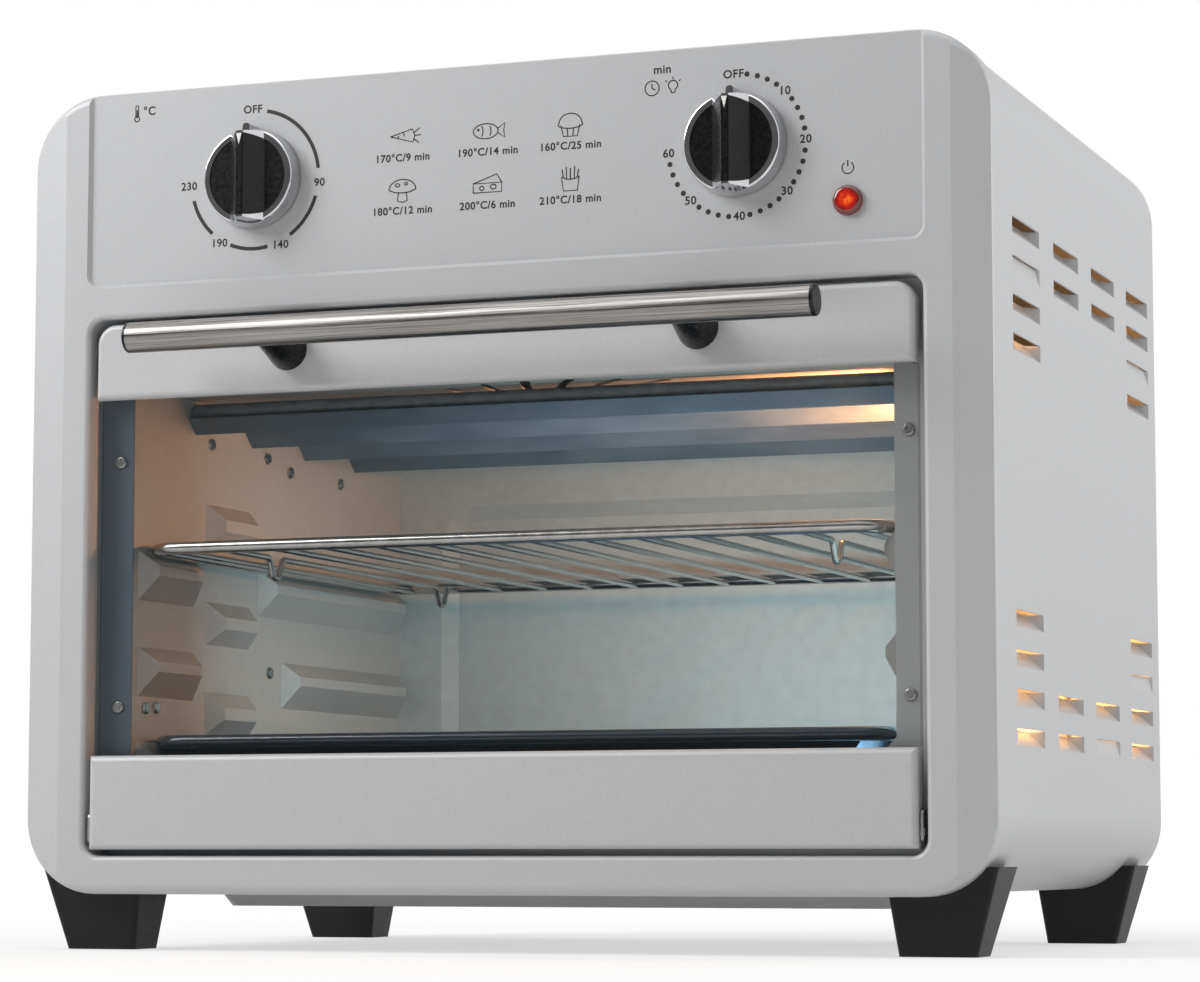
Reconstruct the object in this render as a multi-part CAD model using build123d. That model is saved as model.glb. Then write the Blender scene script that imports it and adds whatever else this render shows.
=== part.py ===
"""Countertop air fryer oven with a fold-down glass door, two dials and a fan in its ceiling.

Millimetres. X runs to the right as the user sees the front, Y runs towards the back, Z is up.
Every piece is modelled with y = 0 on the front face of the front frame. On export all pieces move
together so that the origin lies under the middle of the whole object, on the surface it stands on.
"""

from build123d import *
from math import atan, cos, hypot, pi, radians, sin, tan
import os

# Outer body
body_width = 400.0
body_height = 322.5
foot_height = 22.0
corner_radius = 30.0
sheet = 0.8
frame_depth = 15.0
shell_length = 277.0
shell_start = 12.0
shell_inset = 1.0
seat_gap = 0.3

# Front frame
front_edge_radius = 4.0
side_facet_width = 15.0
side_facet_drop = 2.4
recess_side = 25.0
recess_height = 80.0
recess_depth = 1.5
recess_corner = 6.0
frame_side = 26.5
frame_sill = 15.1
control_height = 92.5
opening_corner = 6.0
opening_lip_radius = 2.0
opening_lip_wall = 3.0
opening_lip_length = 4.0

# Door
door_side_gap = 3.1
door_bottom_gap = 2.5
door_top_gap = 2.2
bottom_rail_height = 37.1
bottom_rail_front = -1.8
top_rail_height = 30.6
top_rail_front = 0.3
top_rail_corner = 8.0
rail_wall = 1.6
rail_edge_radius = 2.4
glass_front = 3.5
glass_thickness = 4.0
glass_corner = 5.0
glass_lap_bottom = 18.7
glass_lap_top = 26.8
hinge_y = 4.0
hinge_rise = 6.0
hinge_pin_radius = 2.0
hinge_pin_head_radius = 3.4
hinge_pin_head = 1.2
hinge_clearance = 0.05
hinge_ear_gap = 0.5
hinge_ear = 1.0
hinge_ear_below = 3.6
hinge_ear_above = 8.4
hinge_ear_front = 2.9
hinge_ear_corner = 2.0
hinge_ear_foot = 11.0

# Handle
handle_radius = 6.0
handle_wall = 1.0
handle_end_inset = 28.9
handle_rise = 20.3
handle_reach = 28.0
handle_cap = 1.5
handle_cap_plug = 6.5
post_spacing = 171.0
post_base_radius = 8.4
post_tip_radius = 4.6
post_base_drop = 3.5
post_saddle = 0.6
handle_screw_radius = 2.0
handle_screw_head_radius = 4.0
handle_screw_head = 2.0
handle_screw_depth = 10.0

# Dials
dial_half_spacing = 101.0
dial_drop = 39.5
knob_radius = 20.0
knob_front_radius = 19.2
knob_edge_radius = 1.0
knob_insert_radius = 16.4
knob_insert_gap = 0.05
knob_insert_drop = 0.4
knob_skirt_depth = 6.5
knob_ridge_height = 7.6
knob_ridge_top = 3.2
knob_ridge_base = 15.0
knob_ridge_edge = 0.8
knob_ridge_end_radius = 17.2
knob_panel_gap = 0.8
knob_pointer_width = 3.0
knob_pointer_reach = 1.4
knob_pointer_stand = 1.2
shaft_radius = 3.0
shaft_clearance = 0.05
shaft_depth = 18.0
shaft_in_knob = 8.0
shaft_hole_radius = 4.5
thermostat_width = 36.0
thermostat_height = 30.0
thermostat_depth = 26.0
timer_radius = 24.0
timer_depth = 36.0
control_corner = 3.0

# Power lamp
power_lamp_aside = 43.8
power_lamp_below = 24.0
power_lamp_radius = 5.8
power_lamp_nut = 0.9
power_lamp_nut_depth = 3.0
power_lamp_dome = 2.6
power_lamp_body_radius = 4.6
power_lamp_body_length = 22.0
power_lamp_hole_gap = 0.1

# Cavity
cavity_side = 14.5
cavity_step = 7.9
cavity_drop = 26.0
cavity_back_gap = 9.0
flange_front = 12.0
flange_margin = 19.0
flange_lap = 4.0
back_recess_side = 21.0
back_recess_rise = 17.0
back_recess_drop = 25.8
back_recess_corner = 20.0
back_recess_slope = 6.5
back_recess_depth = 5.8

# Embossed shelf supports on the side walls
boss_depth = 7.0
boss_height = 20.0
boss_top_slope = 6.0
boss_ridge = 4.0
boss_end_slope = 5.0
boss_front_gap = 4.2
front_boss_length = 49.0
boss_back_gap = 4.0
upper_rear_boss_length = 149.0
lower_rear_boss_length = 125.0
keeper_gap = 11.0
keeper_length = 41.0
keeper_height = 18.0
keeper_ridge = 5.0
upper_keeper_gap = 3.5
middle_keeper_gap = 4.0
lower_keeper_gap = 1.9

# Wire rack
rack_rail_radius = 2.5
rack_side_gap = 4.0
rack_front_gap = 2.2
rack_back_gap = 22.0
rack_corner = 14.0
rack_height = 115.0
rack_wire_radius = 1.3
rack_wire_count = 14
rack_wire_margin = 12.5
rack_wire_drop = 1.1
rack_wire_back_end = 1.5
rack_dip_depth = 8.0
rack_dip_half_width = 6.5
rack_dip_front = 49.5
rack_dip_rear = 224.0
rack_dip_bend = 2.6
rack_dip_low_bend = 1.8

# Baking tray
tray_side_gap = 2.0
tray_front_gap = 5.2
tray_back_gap = 18.0
tray_corner = 16.0
tray_height = 40.3
tray_rim_height = 5.4
tray_rim_width = 9.0
tray_depth = 19.0
tray_draft = 7.0
middle_support_height = 76.0

# Heaters
upper_heater_pitch = 53.4
upper_heater_count = 4
upper_heater_drop = 4.6
heater_radius = 3.25
heater_hole_gap = 0.3
heater_end = 6.2
heater_pin_radius = 1.8
heater_pin = 8.0
insulator_radius = 6.5
insulator_length = 10.0
insulator_gap = 0.02
guard_half_width = 7.2
guard_drop = 6.2
guard_side_wall = 1.12
guard_apex_wall = 1.04
lower_heater_rise = 11.0
lower_heater_pitch = 122.0

# Fan
fan_intake_radius = 22.0
fan_intake_hole = 3.2
fan_slot_inner = 34.0
fan_slot_outer = 92.0
fan_slot_width = 4.0
fan_slot_count = 30
fan_slot_swirl = 26.0
fan_slot_bow = 16.0
shroud_radius = 107.0
shroud_height = 29.0
shroud_flange = 8.0
impeller_radius = 75.0
impeller_inner = 22.0
impeller_height = 14.0
impeller_lift = 9.0
impeller_blades = 14
impeller_blade = 1.2
impeller_blade_turn = 20.0
impeller_hub = 8.0
motor_shaft_radius = 2.5
motor_shaft_rise = 17.0
motor_hole_gap = 1.5
motor_half_width = 33.0
motor_corner = 5.0
motor_core_low = 8.0
motor_core_height = 18.0
motor_height = 34.0
motor_bearing_radius = 14.4
coil_half_width = 18.0
coil_reach = 9.0
coil_lap = 14.0
coil_inset = 3.0
coil_corner = 4.0
motor_bracket_rise = 5.0
motor_bracket_sheet = 1.6
motor_bracket_length = 96.0
motor_bracket_width = 40.0
motor_bracket_foot = 12.0

# Oven lamp
oven_lamp_hole = 14.0
oven_lamp_cover_rim = 3.0
oven_lamp_rim_depth = 1.5
oven_lamp_cover_wall = 1.5
oven_lamp_cover_reach = 7.0
oven_lamp_keeper_gap = 1.0
oven_lamp_holder_length = 30.0
oven_lamp_holder_lap = 1.0
oven_lamp_holder_end = 2.0
oven_lamp_bulb_radius = 7.0
oven_lamp_bulb_length = 20.0
oven_lamp_base_radius = 6.0
oven_lamp_base_length = 8.0

# Side louvres: each group lists its (column, row) places
louvre_length = 44.0
louvre_height = 7.4
louvre_depth = 6.4
shallow_louvre_depth = 2.2
louvre_end_slope = 4.0
louvre_tip = 1.6
louvre_first = 34.8
louvre_rear_margin = 12.8
louvre_row_pitch = 14.85
louvre_upper_drop = 66.7
louvre_lower_rise = 106.9
upper_louvres = ((0, 0), (0, 1), (0, 2), (0, 3), (1, 0), (1, 1), (2, 0), (2, 1), (3, 0), (3, 1), (3, 2), (3, 3))
lower_louvres = ((0, 0), (0, 1), (0, 2), (0, 3), (1, 2), (1, 3), (2, 2), (2, 3), (3, 0), (3, 1), (3, 2), (3, 3))
upper_shallow = ((0, 1), (3, 2))
lower_shallow = ((3, 1), (2, 3))

# Base plate
shell_bottom_strip = 52.0
base_side = 32.0
base_pan_gap = 2.0
base_pan_front = 60.0
base_pan_rear_margin = 49.0
base_pan_drop = 7.2
base_pan_slope = 5.0
base_pan_corner = 8.0
base_slot_length = 60.0
base_slot_width = 4.0
base_slot_count = 7
base_slot_pitch = 16.0

# Back cover
cover_gap = 0.2
cover_flange = 9.0
cover_bulge_side = 40.0
cover_bulge_rise = 40.0
cover_bulge_drop = 108.5
cover_bulge = 12.0
cover_bulge_slope = 10.0
cover_bulge_corner = 24.0
cover_slot_length = 52.0
cover_slot_width = 4.0
cover_slot_rows = 7
cover_slot_pitch = 11.0
cover_slot_spacing = 96.0
cover_slot_rise = 30.0
vent_slot_rise = 26.0
vent_slot_rows = 4
cover_screw_inset = 14.0
cover_screw_margin = 40.0
screw_head_radius = 3.2
screw_head = 1.8
screw_shank_radius = 1.6
screw_shank = 8.0
screw_hole_gap = 0.1
gland_side = 24.0
gland_rise = 60.0
gland_radius = 8.0
gland_flange_radius = 11.0
gland_flange = 2.5
gland_bore = 4.0
gland_length = 14.0
terminal_side = 50.0
terminal_rise = 14.0
terminal_width = 32.0
terminal_depth = 14.0
terminal_height = 12.0
terminal_pitch = 9.0
terminal_hole = 2.2
terminal_hole_depth = 5.0

# Feet and rivets
foot_side = 42.0
foot_bottom_width = 30.0
foot_bottom_length = 21.0
foot_front_y = 15.0
foot_rear_margin = 43.0
foot_rise = 11.0
foot_inner_flare = 4.5
foot_outer_flare = 9.5
foot_end_flare = 4.5
foot_edge_radius = 2.0
foot_screw_inset = 4.0
foot_screw_hole = 2.4
foot_screw_recess = 9.0
foot_recess_gap = 0.8
foot_shell_gap = 0.1
foot_screw_above = 2.0
rivet_head_radius = 2.6
rivet_head = 1.3
flange_rivet_side = 5.6

# Worked out from the sizes above: the body
half_body = body_width / 2
body_top = foot_height + body_height
body_mid_z = foot_height + body_height / 2
shell_half = half_body - shell_inset
shell_low = foot_height + shell_inset
shell_top = body_top - shell_inset
shell_radius = corner_radius - shell_inset
shell_end = shell_start + shell_length
back_end = shell_end + cover_bulge
recess_half_width = half_body - recess_side
recess_bottom = body_top - recess_height
opening_half_width = half_body - frame_side
opening_bottom = foot_height + frame_sill
opening_top = body_top - control_height
panel_front = recess_depth
panel_back = recess_depth + sheet

# Worked out: the door and its handle
door_half_width = opening_half_width - door_side_gap
bottom_rail_low = opening_bottom + door_bottom_gap
bottom_rail_high = bottom_rail_low + bottom_rail_height
top_rail_high = opening_top - door_top_gap
top_rail_low = top_rail_high - top_rail_height
glass_back = glass_front + glass_thickness
glass_low = bottom_rail_high - glass_lap_bottom
glass_high = top_rail_low + glass_lap_top
rail_back = glass_back + seat_gap
hinge_z = bottom_rail_low + hinge_rise
handle_y = top_rail_front - handle_reach
handle_z = top_rail_low + handle_rise
handle_front = handle_y - handle_radius
handle_half = door_half_width - handle_end_inset
post_base_z = handle_z - post_base_drop

# Worked out: the controls
dial_z = body_top - dial_drop
knob_back = panel_front - knob_panel_gap
knob_face = knob_back - knob_skirt_depth
knob_front = knob_face - knob_ridge_height
power_lamp_x = dial_half_spacing + power_lamp_aside
power_lamp_z = dial_z - power_lamp_below

# Worked out: the cavity and what it holds
cavity_half_width = opening_half_width - cavity_side
cavity_floor = opening_bottom + cavity_step
cavity_ceiling = opening_top - cavity_drop
cavity_back = shell_end - cavity_back_gap
flange_back = flange_front + sheet
wall_outside = cavity_half_width + sheet
cavity_mid_y = (flange_back + cavity_back) / 2
back_recess_half_width = cavity_half_width - back_recess_side
back_recess_low = cavity_floor + back_recess_rise
back_recess_high = cavity_ceiling - back_recess_drop
rack_z = cavity_floor + rack_height
rack_half_width = cavity_half_width - rack_side_gap
rack_front = flange_back + rack_front_gap
rack_back = cavity_back - rack_back_gap
rack_wire_span = 2 * (rack_half_width - rack_wire_margin)
tray_half_width = cavity_half_width - tray_side_gap
tray_front = flange_back + tray_front_gap
tray_back = cavity_back - tray_back_gap
tray_rim_top = cavity_floor + tray_height
middle_support_top = cavity_floor + middle_support_height
boss_start = flange_back + boss_front_gap
boss_end = cavity_back - boss_back_gap
front_boss = (boss_start, boss_start + front_boss_length)
keeper_boss = (front_boss[1] + keeper_gap, front_boss[1] + keeper_gap + keeper_length)
upper_rear_boss = (boss_end - upper_rear_boss_length, boss_end)
lower_rear_boss = (boss_end - lower_rear_boss_length, boss_end)
keeper_lows = (rack_z + rack_rail_radius + upper_keeper_gap, middle_support_top + middle_keeper_gap,
               tray_rim_top + lower_keeper_gap)
upper_heater_z = cavity_ceiling - upper_heater_drop
upper_heater_first = cavity_mid_y - (upper_heater_count - 1) / 2 * upper_heater_pitch
upper_heater_ys = [upper_heater_first + i * upper_heater_pitch for i in range(upper_heater_count)]
guard_top = upper_heater_z - heater_radius
lower_heater_z = cavity_floor + lower_heater_rise
lower_heater_ys = [cavity_mid_y - lower_heater_pitch / 2, cavity_mid_y + lower_heater_pitch / 2]
heater_half_length = wall_outside + insulator_length + heater_end
shroud_top = cavity_ceiling + sheet + shroud_height
impeller_low = cavity_ceiling + sheet + impeller_lift
impeller_high = impeller_low + impeller_height
motor_low = shroud_top + motor_bracket_rise
oven_lamp_cover_radius = oven_lamp_hole + oven_lamp_cover_rim
oven_lamp_holder_radius = oven_lamp_hole + oven_lamp_holder_lap
oven_lamp_y = upper_heater_first + upper_heater_pitch / 2
oven_lamp_z = keeper_lows[0] + keeper_height + oven_lamp_cover_radius + oven_lamp_keeper_gap

# Worked out: louvres, base, back and feet
louvre_pitch = (shell_end - louvre_rear_margin - louvre_length - louvre_first) / 3
louvre_upper_top = body_top - louvre_upper_drop
louvre_lower_top = foot_height + louvre_lower_rise
shell_gap_half_width = half_body - shell_bottom_strip
base_half_width = half_body - base_side
base_plate_z = shell_low + sheet + cover_gap
base_pan_half_width = shell_gap_half_width - base_pan_gap
base_pan_back = shell_end - base_pan_rear_margin
cover_bulge_half_width = half_body - cover_bulge_side
cover_bulge_low = foot_height + cover_bulge_rise
cover_bulge_high = body_top - cover_bulge_drop
gland_x = half_body - gland_side
gland_z = foot_height + gland_rise
foot_inner_x = half_body - foot_side
foot_rear_y = shell_end - foot_rear_margin
foot_top_z = foot_height + foot_rise
foot_screw_x = foot_inner_x + foot_screw_inset
foot_screw_ys = [y + foot_bottom_length / 2 for y in (foot_front_y, foot_rear_y)]
rivet_places = [(24.0, 96.4), (33.5, 97.0), (80.7, 209.5), (134.8, 209.0), (158.0, 205.0), (211.0, 205.0),
                (139.0, 116.0)]
flange_rivet_zs = (96.4, 195.0)
origin_shift = Pos(0, -(handle_front + back_end) / 2, 0)


# Helpers

def front_plane(y):
    """A plane that faces the user at depth y, with its own axes along X and Z."""
    return Plane.XZ.offset(-y)


def upright(sketch, y_from, y_to):
    """A sketch drawn in X and Z, pushed back from y_from to y_to."""
    return extrude(front_plane(y_from) * sketch, amount=y_from - y_to)


def block(x0, x1, y0, y1, z0, z1):
    """A box between two corners."""
    return Pos((x0 + x1) / 2, (y0 + y1) / 2, (z0 + z1) / 2) * Box(x1 - x0, y1 - y0, z1 - z0)


def rounded(half_width, low, high, radius, y_from, y_to):
    """An upright slab with rounded corners, centred on the middle of the oven."""
    outline = Pos(0, (low + high) / 2) * RectangleRounded(2 * half_width, high - low, radius)
    return upright(outline, y_from, y_to)


def rod_y(x, z, radius, y_from, y_to):
    """A round bar along Y."""
    return upright(Pos(x, z) * Circle(radius), y_from, y_to)


def rod_x(y, z, radius, x_from, x_to):
    """A round bar along X."""
    return extrude(Plane.YZ.offset(x_from) * Pos(y, z) * Circle(radius), amount=x_to - x_from)


def rod_z(x, y, radius, z_from, z_to):
    """A round bar along Z."""
    return Pos(x, y, (z_from + z_to) / 2) * Cylinder(radius, z_to - z_from)


def cone_y(x, z, radius_from, radius_to, y_from, y_to):
    """A tapered round piece along Y."""
    start = front_plane(y_from) * Pos(x, z) * Circle(radius_from)
    end = front_plane(y_to) * Pos(x, z) * Circle(radius_to)
    return loft([start, end], ruled=True)


def side_rectangle(x, y0, y1, z0, z1):
    """A rectangle that faces along X."""
    return Plane.YZ.offset(x) * Pos((y0 + y1) / 2, (z0 + z1) / 2) * Rectangle(y1 - y0, z1 - z0)


def level_rectangle(z, x0, x1, y0, y1, radius):
    """A rectangle with rounded corners that lies flat at height z."""
    return Pos((x0 + x1) / 2, (y0 + y1) / 2, z) * RectangleRounded(x1 - x0, y1 - y0, radius)


def both_sides(piece):
    """The piece and its mirror image across the middle of the oven."""
    return [piece, mirror(piece, Plane.YZ)]


def head_screw(x, z, y_seat):
    """A dome-headed screw driven forward through a plate whose back face is at y_seat."""
    head = rod_y(x, z, screw_head_radius, y_seat, y_seat + screw_head)
    rim = head.faces().sort_by(Axis.Y)[-1].edges()
    head = fillet(rim, screw_head * 0.6)
    return head + rod_y(x, z, screw_shank_radius, y_seat - screw_shank, y_seat)


written = {}


def save(name, *solids):
    """Writes one named piece, or one group of equal pieces, as a STEP file."""
    placed = [origin_shift * solid for solid in solids]
    whole = placed[0] if len(placed) == 1 else Compound(children=placed)
    whole.label = name
    export_step(whole, f"parts/{name}.step")
    written[name] = whole


# Front frame

def frame_form(inset):
    """The pressed outer form of the front frame, or the same form one sheet further in."""
    half = half_body - inset
    form = rounded(half, foot_height + inset, body_top - inset, corner_radius - inset, inset, frame_depth)
    form = fillet(form.faces().sort_by(Axis.Y)[0].edges(), front_edge_radius - inset)
    facet_x = half_body - side_facet_width
    beyond = 3 * sheet
    slope = Polyline((facet_x, -beyond), (facet_x, inset), (half_body, inset + side_facet_drop),
                     (half_body + beyond, inset + side_facet_drop), (half_body + beyond, -beyond), close=True)
    facet = extrude(make_face(slope), amount=body_top + foot_height)
    form -= both_sides(facet)
    low_half = recess_half_width - recess_depth
    top = body_top + 2 * corner_radius
    mouth = front_plane(inset) * Pos(0, (recess_bottom + top) / 2) * RectangleRounded(
        2 * recess_half_width, top - recess_bottom, recess_corner)
    floor_low = recess_bottom + recess_depth
    floor = front_plane(inset + recess_depth) * Pos(0, (floor_low + top - recess_depth) / 2) * RectangleRounded(
        2 * low_half, top - recess_depth - floor_low, recess_corner - recess_depth)
    return form - loft([mouth, floor], ruled=True)


def front_frame():
    frame = frame_form(0) - frame_form(sheet) - rounded(
        half_body - sheet, foot_height + sheet, body_top - sheet, corner_radius - sheet, front_edge_radius + 1,
        frame_depth + 1)
    lip = rounded(opening_half_width + opening_lip_wall, opening_bottom - opening_lip_wall,
                  opening_top + opening_lip_wall, opening_corner + opening_lip_wall, sheet / 2, opening_lip_length)
    tunnel = rounded(opening_half_width + sheet, opening_bottom - sheet, opening_top + sheet,
                     opening_corner + sheet, sheet / 2, flange_front)
    hole = rounded(opening_half_width, opening_bottom, opening_top, opening_corner, -1, flange_front + 1)
    frame = frame + lip + tunnel - hole
    frame = fillet(opening_edges(frame), opening_lip_radius)
    for x in (-dial_half_spacing, dial_half_spacing):
        frame -= rod_y(x, dial_z, shaft_hole_radius, -1, panel_back + 1)
    return frame - rod_y(power_lamp_x, power_lamp_z, power_lamp_body_radius + power_lamp_hole_gap, -1, panel_back + 1)


def opening_edges(frame):
    """The front edges of the door opening, found by their place."""
    reach = opening_half_width + 0.1
    found = []
    for edge in frame.edges():
        box = edge.bounding_box()
        flat = abs(box.min.Y) < 0.01 and abs(box.max.Y) < 0.01
        across = max(abs(box.min.X), abs(box.max.X)) < reach
        if flat and across and box.min.Z > opening_bottom - 0.1 and box.max.Z < opening_top + 0.1:
            found.append(edge)
    return found


# Side louvres, pressed inwards from a slit along their top edge

def louvre_wedge(y, top, depth, wall, x_face):
    """One scoop. With a wall of zero it is the outside of the scoop, and otherwise what is hollow."""
    y0, y1 = y + wall, y + louvre_length - wall
    low = top - louvre_height + wall
    lift = 0.0 if wall == 0 else 1.0
    inner = x_face - depth + wall
    near = side_rectangle(x_face, y0, y1, low, top + 0.0)
    slope = louvre_end_slope * depth / louvre_depth
    far = side_rectangle(inner, y0 + slope, y1 - slope, top - louvre_tip + wall * lift, top)
    return loft([near, far], ruled=True)


def louvre_set():
    """Scoops and hollows on the right wall, as two lists."""
    scoops, hollows = [], []
    rows = [(upper_louvres, upper_shallow, louvre_upper_top), (lower_louvres, lower_shallow, louvre_lower_top)]
    for places, shallow, highest in rows:
        for column, row in places:
            y = louvre_first + column * louvre_pitch
            top = highest - row * louvre_row_pitch
            depth = shallow_louvre_depth if (column, row) in shallow else louvre_depth
            scoops.append(louvre_wedge(y, top, depth, 0, shell_half - sheet / 2))
            hollows.append(louvre_wedge(y, top, depth, sheet, shell_half))
            mouth = block(shell_half - 0.1, shell_half + 1, y + sheet, y + louvre_length - sheet,
                          top - louvre_height + sheet, top)
            hollows.append(mouth)
    return scoops, hollows


def cabinet_shell():
    """The whole sheet wrap: top, sides and a strip under each side."""
    low, high = shell_low, shell_top
    outer = rounded(shell_half, low, high, shell_radius, shell_start, shell_end)
    inner = rounded(shell_half - sheet, low + sheet, high - sheet, shell_radius - sheet, shell_start - 1,
                    shell_end + 1)
    gap = block(-shell_gap_half_width, shell_gap_half_width, shell_start - 1, shell_end + 1, low - 1, low + sheet + 1)
    shell = outer - inner - gap
    scoops, hollows = louvre_set()
    shell += [piece for scoop in scoops for piece in both_sides(scoop)]
    shell -= [piece for hollow in hollows for piece in both_sides(hollow)]
    for x in (-foot_screw_x, foot_screw_x):
        for y in foot_screw_ys:
            shell -= rod_z(x, y, foot_screw_hole, low - 1, low + sheet + 1)
    return shell


def cabinet_panels():
    """The wrap as its panels, which meet edge to edge where the round corners start."""
    shell = cabinet_shell()
    low_seam, high_seam = shell_low + shell_radius, shell_top - shell_radius
    top = block(-half_body, half_body, shell_start, shell_end, high_seam, body_top)
    right = block(0, half_body, shell_start, shell_end, low_seam, high_seam)
    right_strip = block(0, half_body, shell_start, shell_end, foot_height, low_seam)
    left, left_strip = mirror(right, Plane.YZ), mirror(right_strip, Plane.YZ)
    return shell & top, shell & left, shell & right, [shell & left_strip, shell & right_strip]


# Base plate and back cover

def base_plate():
    front, back = frame_depth, shell_end - cover_flange - seat_gap
    plate = block(-base_half_width, base_half_width, front, back, base_plate_z, base_plate_z + sheet)
    y0, y1 = base_pan_front, base_pan_back
    half = base_pan_half_width
    s = base_pan_slope

    def pan(shift):
        top = level_rectangle(base_plate_z + shift, -half, half, y0, y1, base_pan_corner)
        low = level_rectangle(base_plate_z - base_pan_drop + shift, -half + s, half - s, y0 + s, y1 - s,
                              base_pan_corner - s / 2)
        return loft([low, top], ruled=True)

    plate = plate + pan(0) - pan(sheet)
    for i in range(base_slot_count):
        y = (y0 + y1) / 2 + (i - (base_slot_count - 1) / 2) * base_slot_pitch
        for x in (-half / 2, half / 2):
            plate -= Pos(x, y, base_plate_z - base_pan_drop) * extrude(
                SlotOverall(base_slot_length, base_slot_width), amount=3 * sheet, both=True)
    for x in (-foot_screw_x, foot_screw_x):
        for y in foot_screw_ys:
            plate -= rod_z(x, y, foot_screw_hole, base_plate_z - 1, base_plate_z + sheet + 1)
    return plate


def slot_rows(columns, lowest, rows):
    """A sketch of level vent slots in rows and columns."""
    slots = Sketch()
    for x in columns:
        for row in range(rows):
            slots += Pos(x, lowest + row * cover_slot_pitch) * SlotOverall(cover_slot_length, cover_slot_width)
    return slots


def back_cover():
    half = shell_half - sheet - cover_gap
    low, high = shell_low + sheet + cover_gap, shell_top - sheet - cover_gap
    radius = shell_radius - sheet - cover_gap
    plate = rounded(half, low, high, radius, shell_end - cover_flange, shell_end)
    plate -= rounded(half - sheet, low + sheet, high - sheet, radius - sheet, shell_end - cover_flange - 1,
                     shell_end - sheet)

    def bulge(shift):
        outer = front_plane(shell_end + shift) * Pos(0, (cover_bulge_low + cover_bulge_high) / 2) * RectangleRounded(
            2 * cover_bulge_half_width, cover_bulge_high - cover_bulge_low, cover_bulge_corner)
        s = cover_bulge_slope
        inner = front_plane(shell_end + cover_bulge + shift) * Pos(
            0, (cover_bulge_low + cover_bulge_high) / 2) * RectangleRounded(
            2 * (cover_bulge_half_width - s), cover_bulge_high - cover_bulge_low - 2 * s, cover_bulge_corner - s)
        return loft([outer, inner], ruled=True)

    plate = plate + bulge(0) - bulge(-sheet)
    columns = (-cover_slot_spacing, 0, cover_slot_spacing)
    low_slots = slot_rows(columns, cover_bulge_low + cover_slot_rise, cover_slot_rows)
    high_slots = slot_rows(columns, cover_bulge_high + vent_slot_rise, vent_slot_rows)
    plate -= upright(low_slots, shell_end - 2, back_end + 2)
    plate -= upright(high_slots, shell_end - 2, shell_end + 2)
    plate -= rod_y(gland_x, gland_z, gland_radius, shell_end - 2, shell_end + 2)
    for x, z in cover_screw_places():
        plate -= rod_y(x, z, screw_shank_radius + screw_hole_gap, shell_end - 2, shell_end + 2)
    return plate


def cover_screw_places():
    """Six screws round the edge of the back cover."""
    x = shell_half - cover_screw_inset
    heights = (foot_height + cover_screw_margin, body_mid_z, body_top - cover_screw_margin)
    return [(side * x, z) for side in (-1, 1) for z in heights]


def cord_gland():
    gland = rod_y(gland_x, gland_z, gland_radius, shell_end - gland_length, shell_end)
    gland += rod_y(gland_x, gland_z, gland_flange_radius, shell_end, shell_end + gland_flange)
    gland = fillet(gland.faces().sort_by(Axis.Y)[-1].edges(), gland_flange * 0.5)
    return gland - rod_y(gland_x, gland_z, gland_bore, shell_end - gland_length - 1, shell_end + gland_flange + 1)


# Feet

def foot(y):
    """A tapered moulded foot under the right side, cut to the round lower edge of the cabinet."""
    x0, x1 = foot_inner_x, foot_inner_x + foot_bottom_width
    y1 = y + foot_bottom_length
    low = level_rectangle(0, x0, x1, y, y1, foot_edge_radius)
    high = level_rectangle(foot_top_z, x0 - foot_inner_flare, x1 + foot_outer_flare, y - foot_end_flare,
                           y1 + foot_end_flare, foot_edge_radius)
    piece = loft([low, high], ruled=True)
    g = foot_shell_gap
    piece -= rounded(half_body + g, foot_height - g, body_top, corner_radius + g, -1, frame_depth + g)
    piece -= rounded(shell_half + g, shell_low - g, body_top, shell_radius + g, frame_depth, shell_end)
    screw_y = y + foot_bottom_length / 2
    piece -= rod_z(foot_screw_x, screw_y, foot_screw_hole, -1, foot_top_z)
    return piece - rod_z(foot_screw_x, screw_y, screw_head_radius + foot_recess_gap, -1, foot_screw_recess)


def foot_screw(x, y):
    """A screw that holds a foot to the cabinet and the base plate from below."""
    head = rod_z(x, y, screw_head_radius, foot_screw_recess - screw_head, foot_screw_recess)
    return head + rod_z(x, y, screw_shank_radius, foot_screw_recess,
                        base_plate_z + sheet + foot_screw_above)


# Oven cavity

def boss(y0, y1, low, high, ridge_low, ridge_high, wall):
    """A shelf support pressed into the left wall towards the middle. wall is 0 outside, one sheet inside."""
    face = -cavity_half_width - wall
    e = boss_end_slope
    base = side_rectangle(face, y0, y1, low, high)
    crest = side_rectangle(face + boss_depth, y0 + e, y1 - e, ridge_low, ridge_high)
    return loft([base, crest], ruled=True)


def support_boss(span, top, wall):
    """A support whose upper slope carries a shelf."""
    ridge_high = top - boss_top_slope
    return boss(*span, top - boss_height, top, ridge_high - boss_ridge, ridge_high, wall)


def keeper(low, wall):
    """A boss that keeps a shelf from tipping up."""
    slope = (keeper_height - keeper_ridge) / 2
    return boss(*keeper_boss, low, low + keeper_height, low + slope, low + slope + keeper_ridge, wall)


def support_top(centre_x, centre_z, radius):
    """How high a support must reach to carry a round rail with that centre and radius."""
    slope = atan(boss_top_slope / boss_depth)
    return centre_z - seat_gap - radius / cos(slope) + (cavity_half_width - centre_x) * tan(slope)


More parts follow.
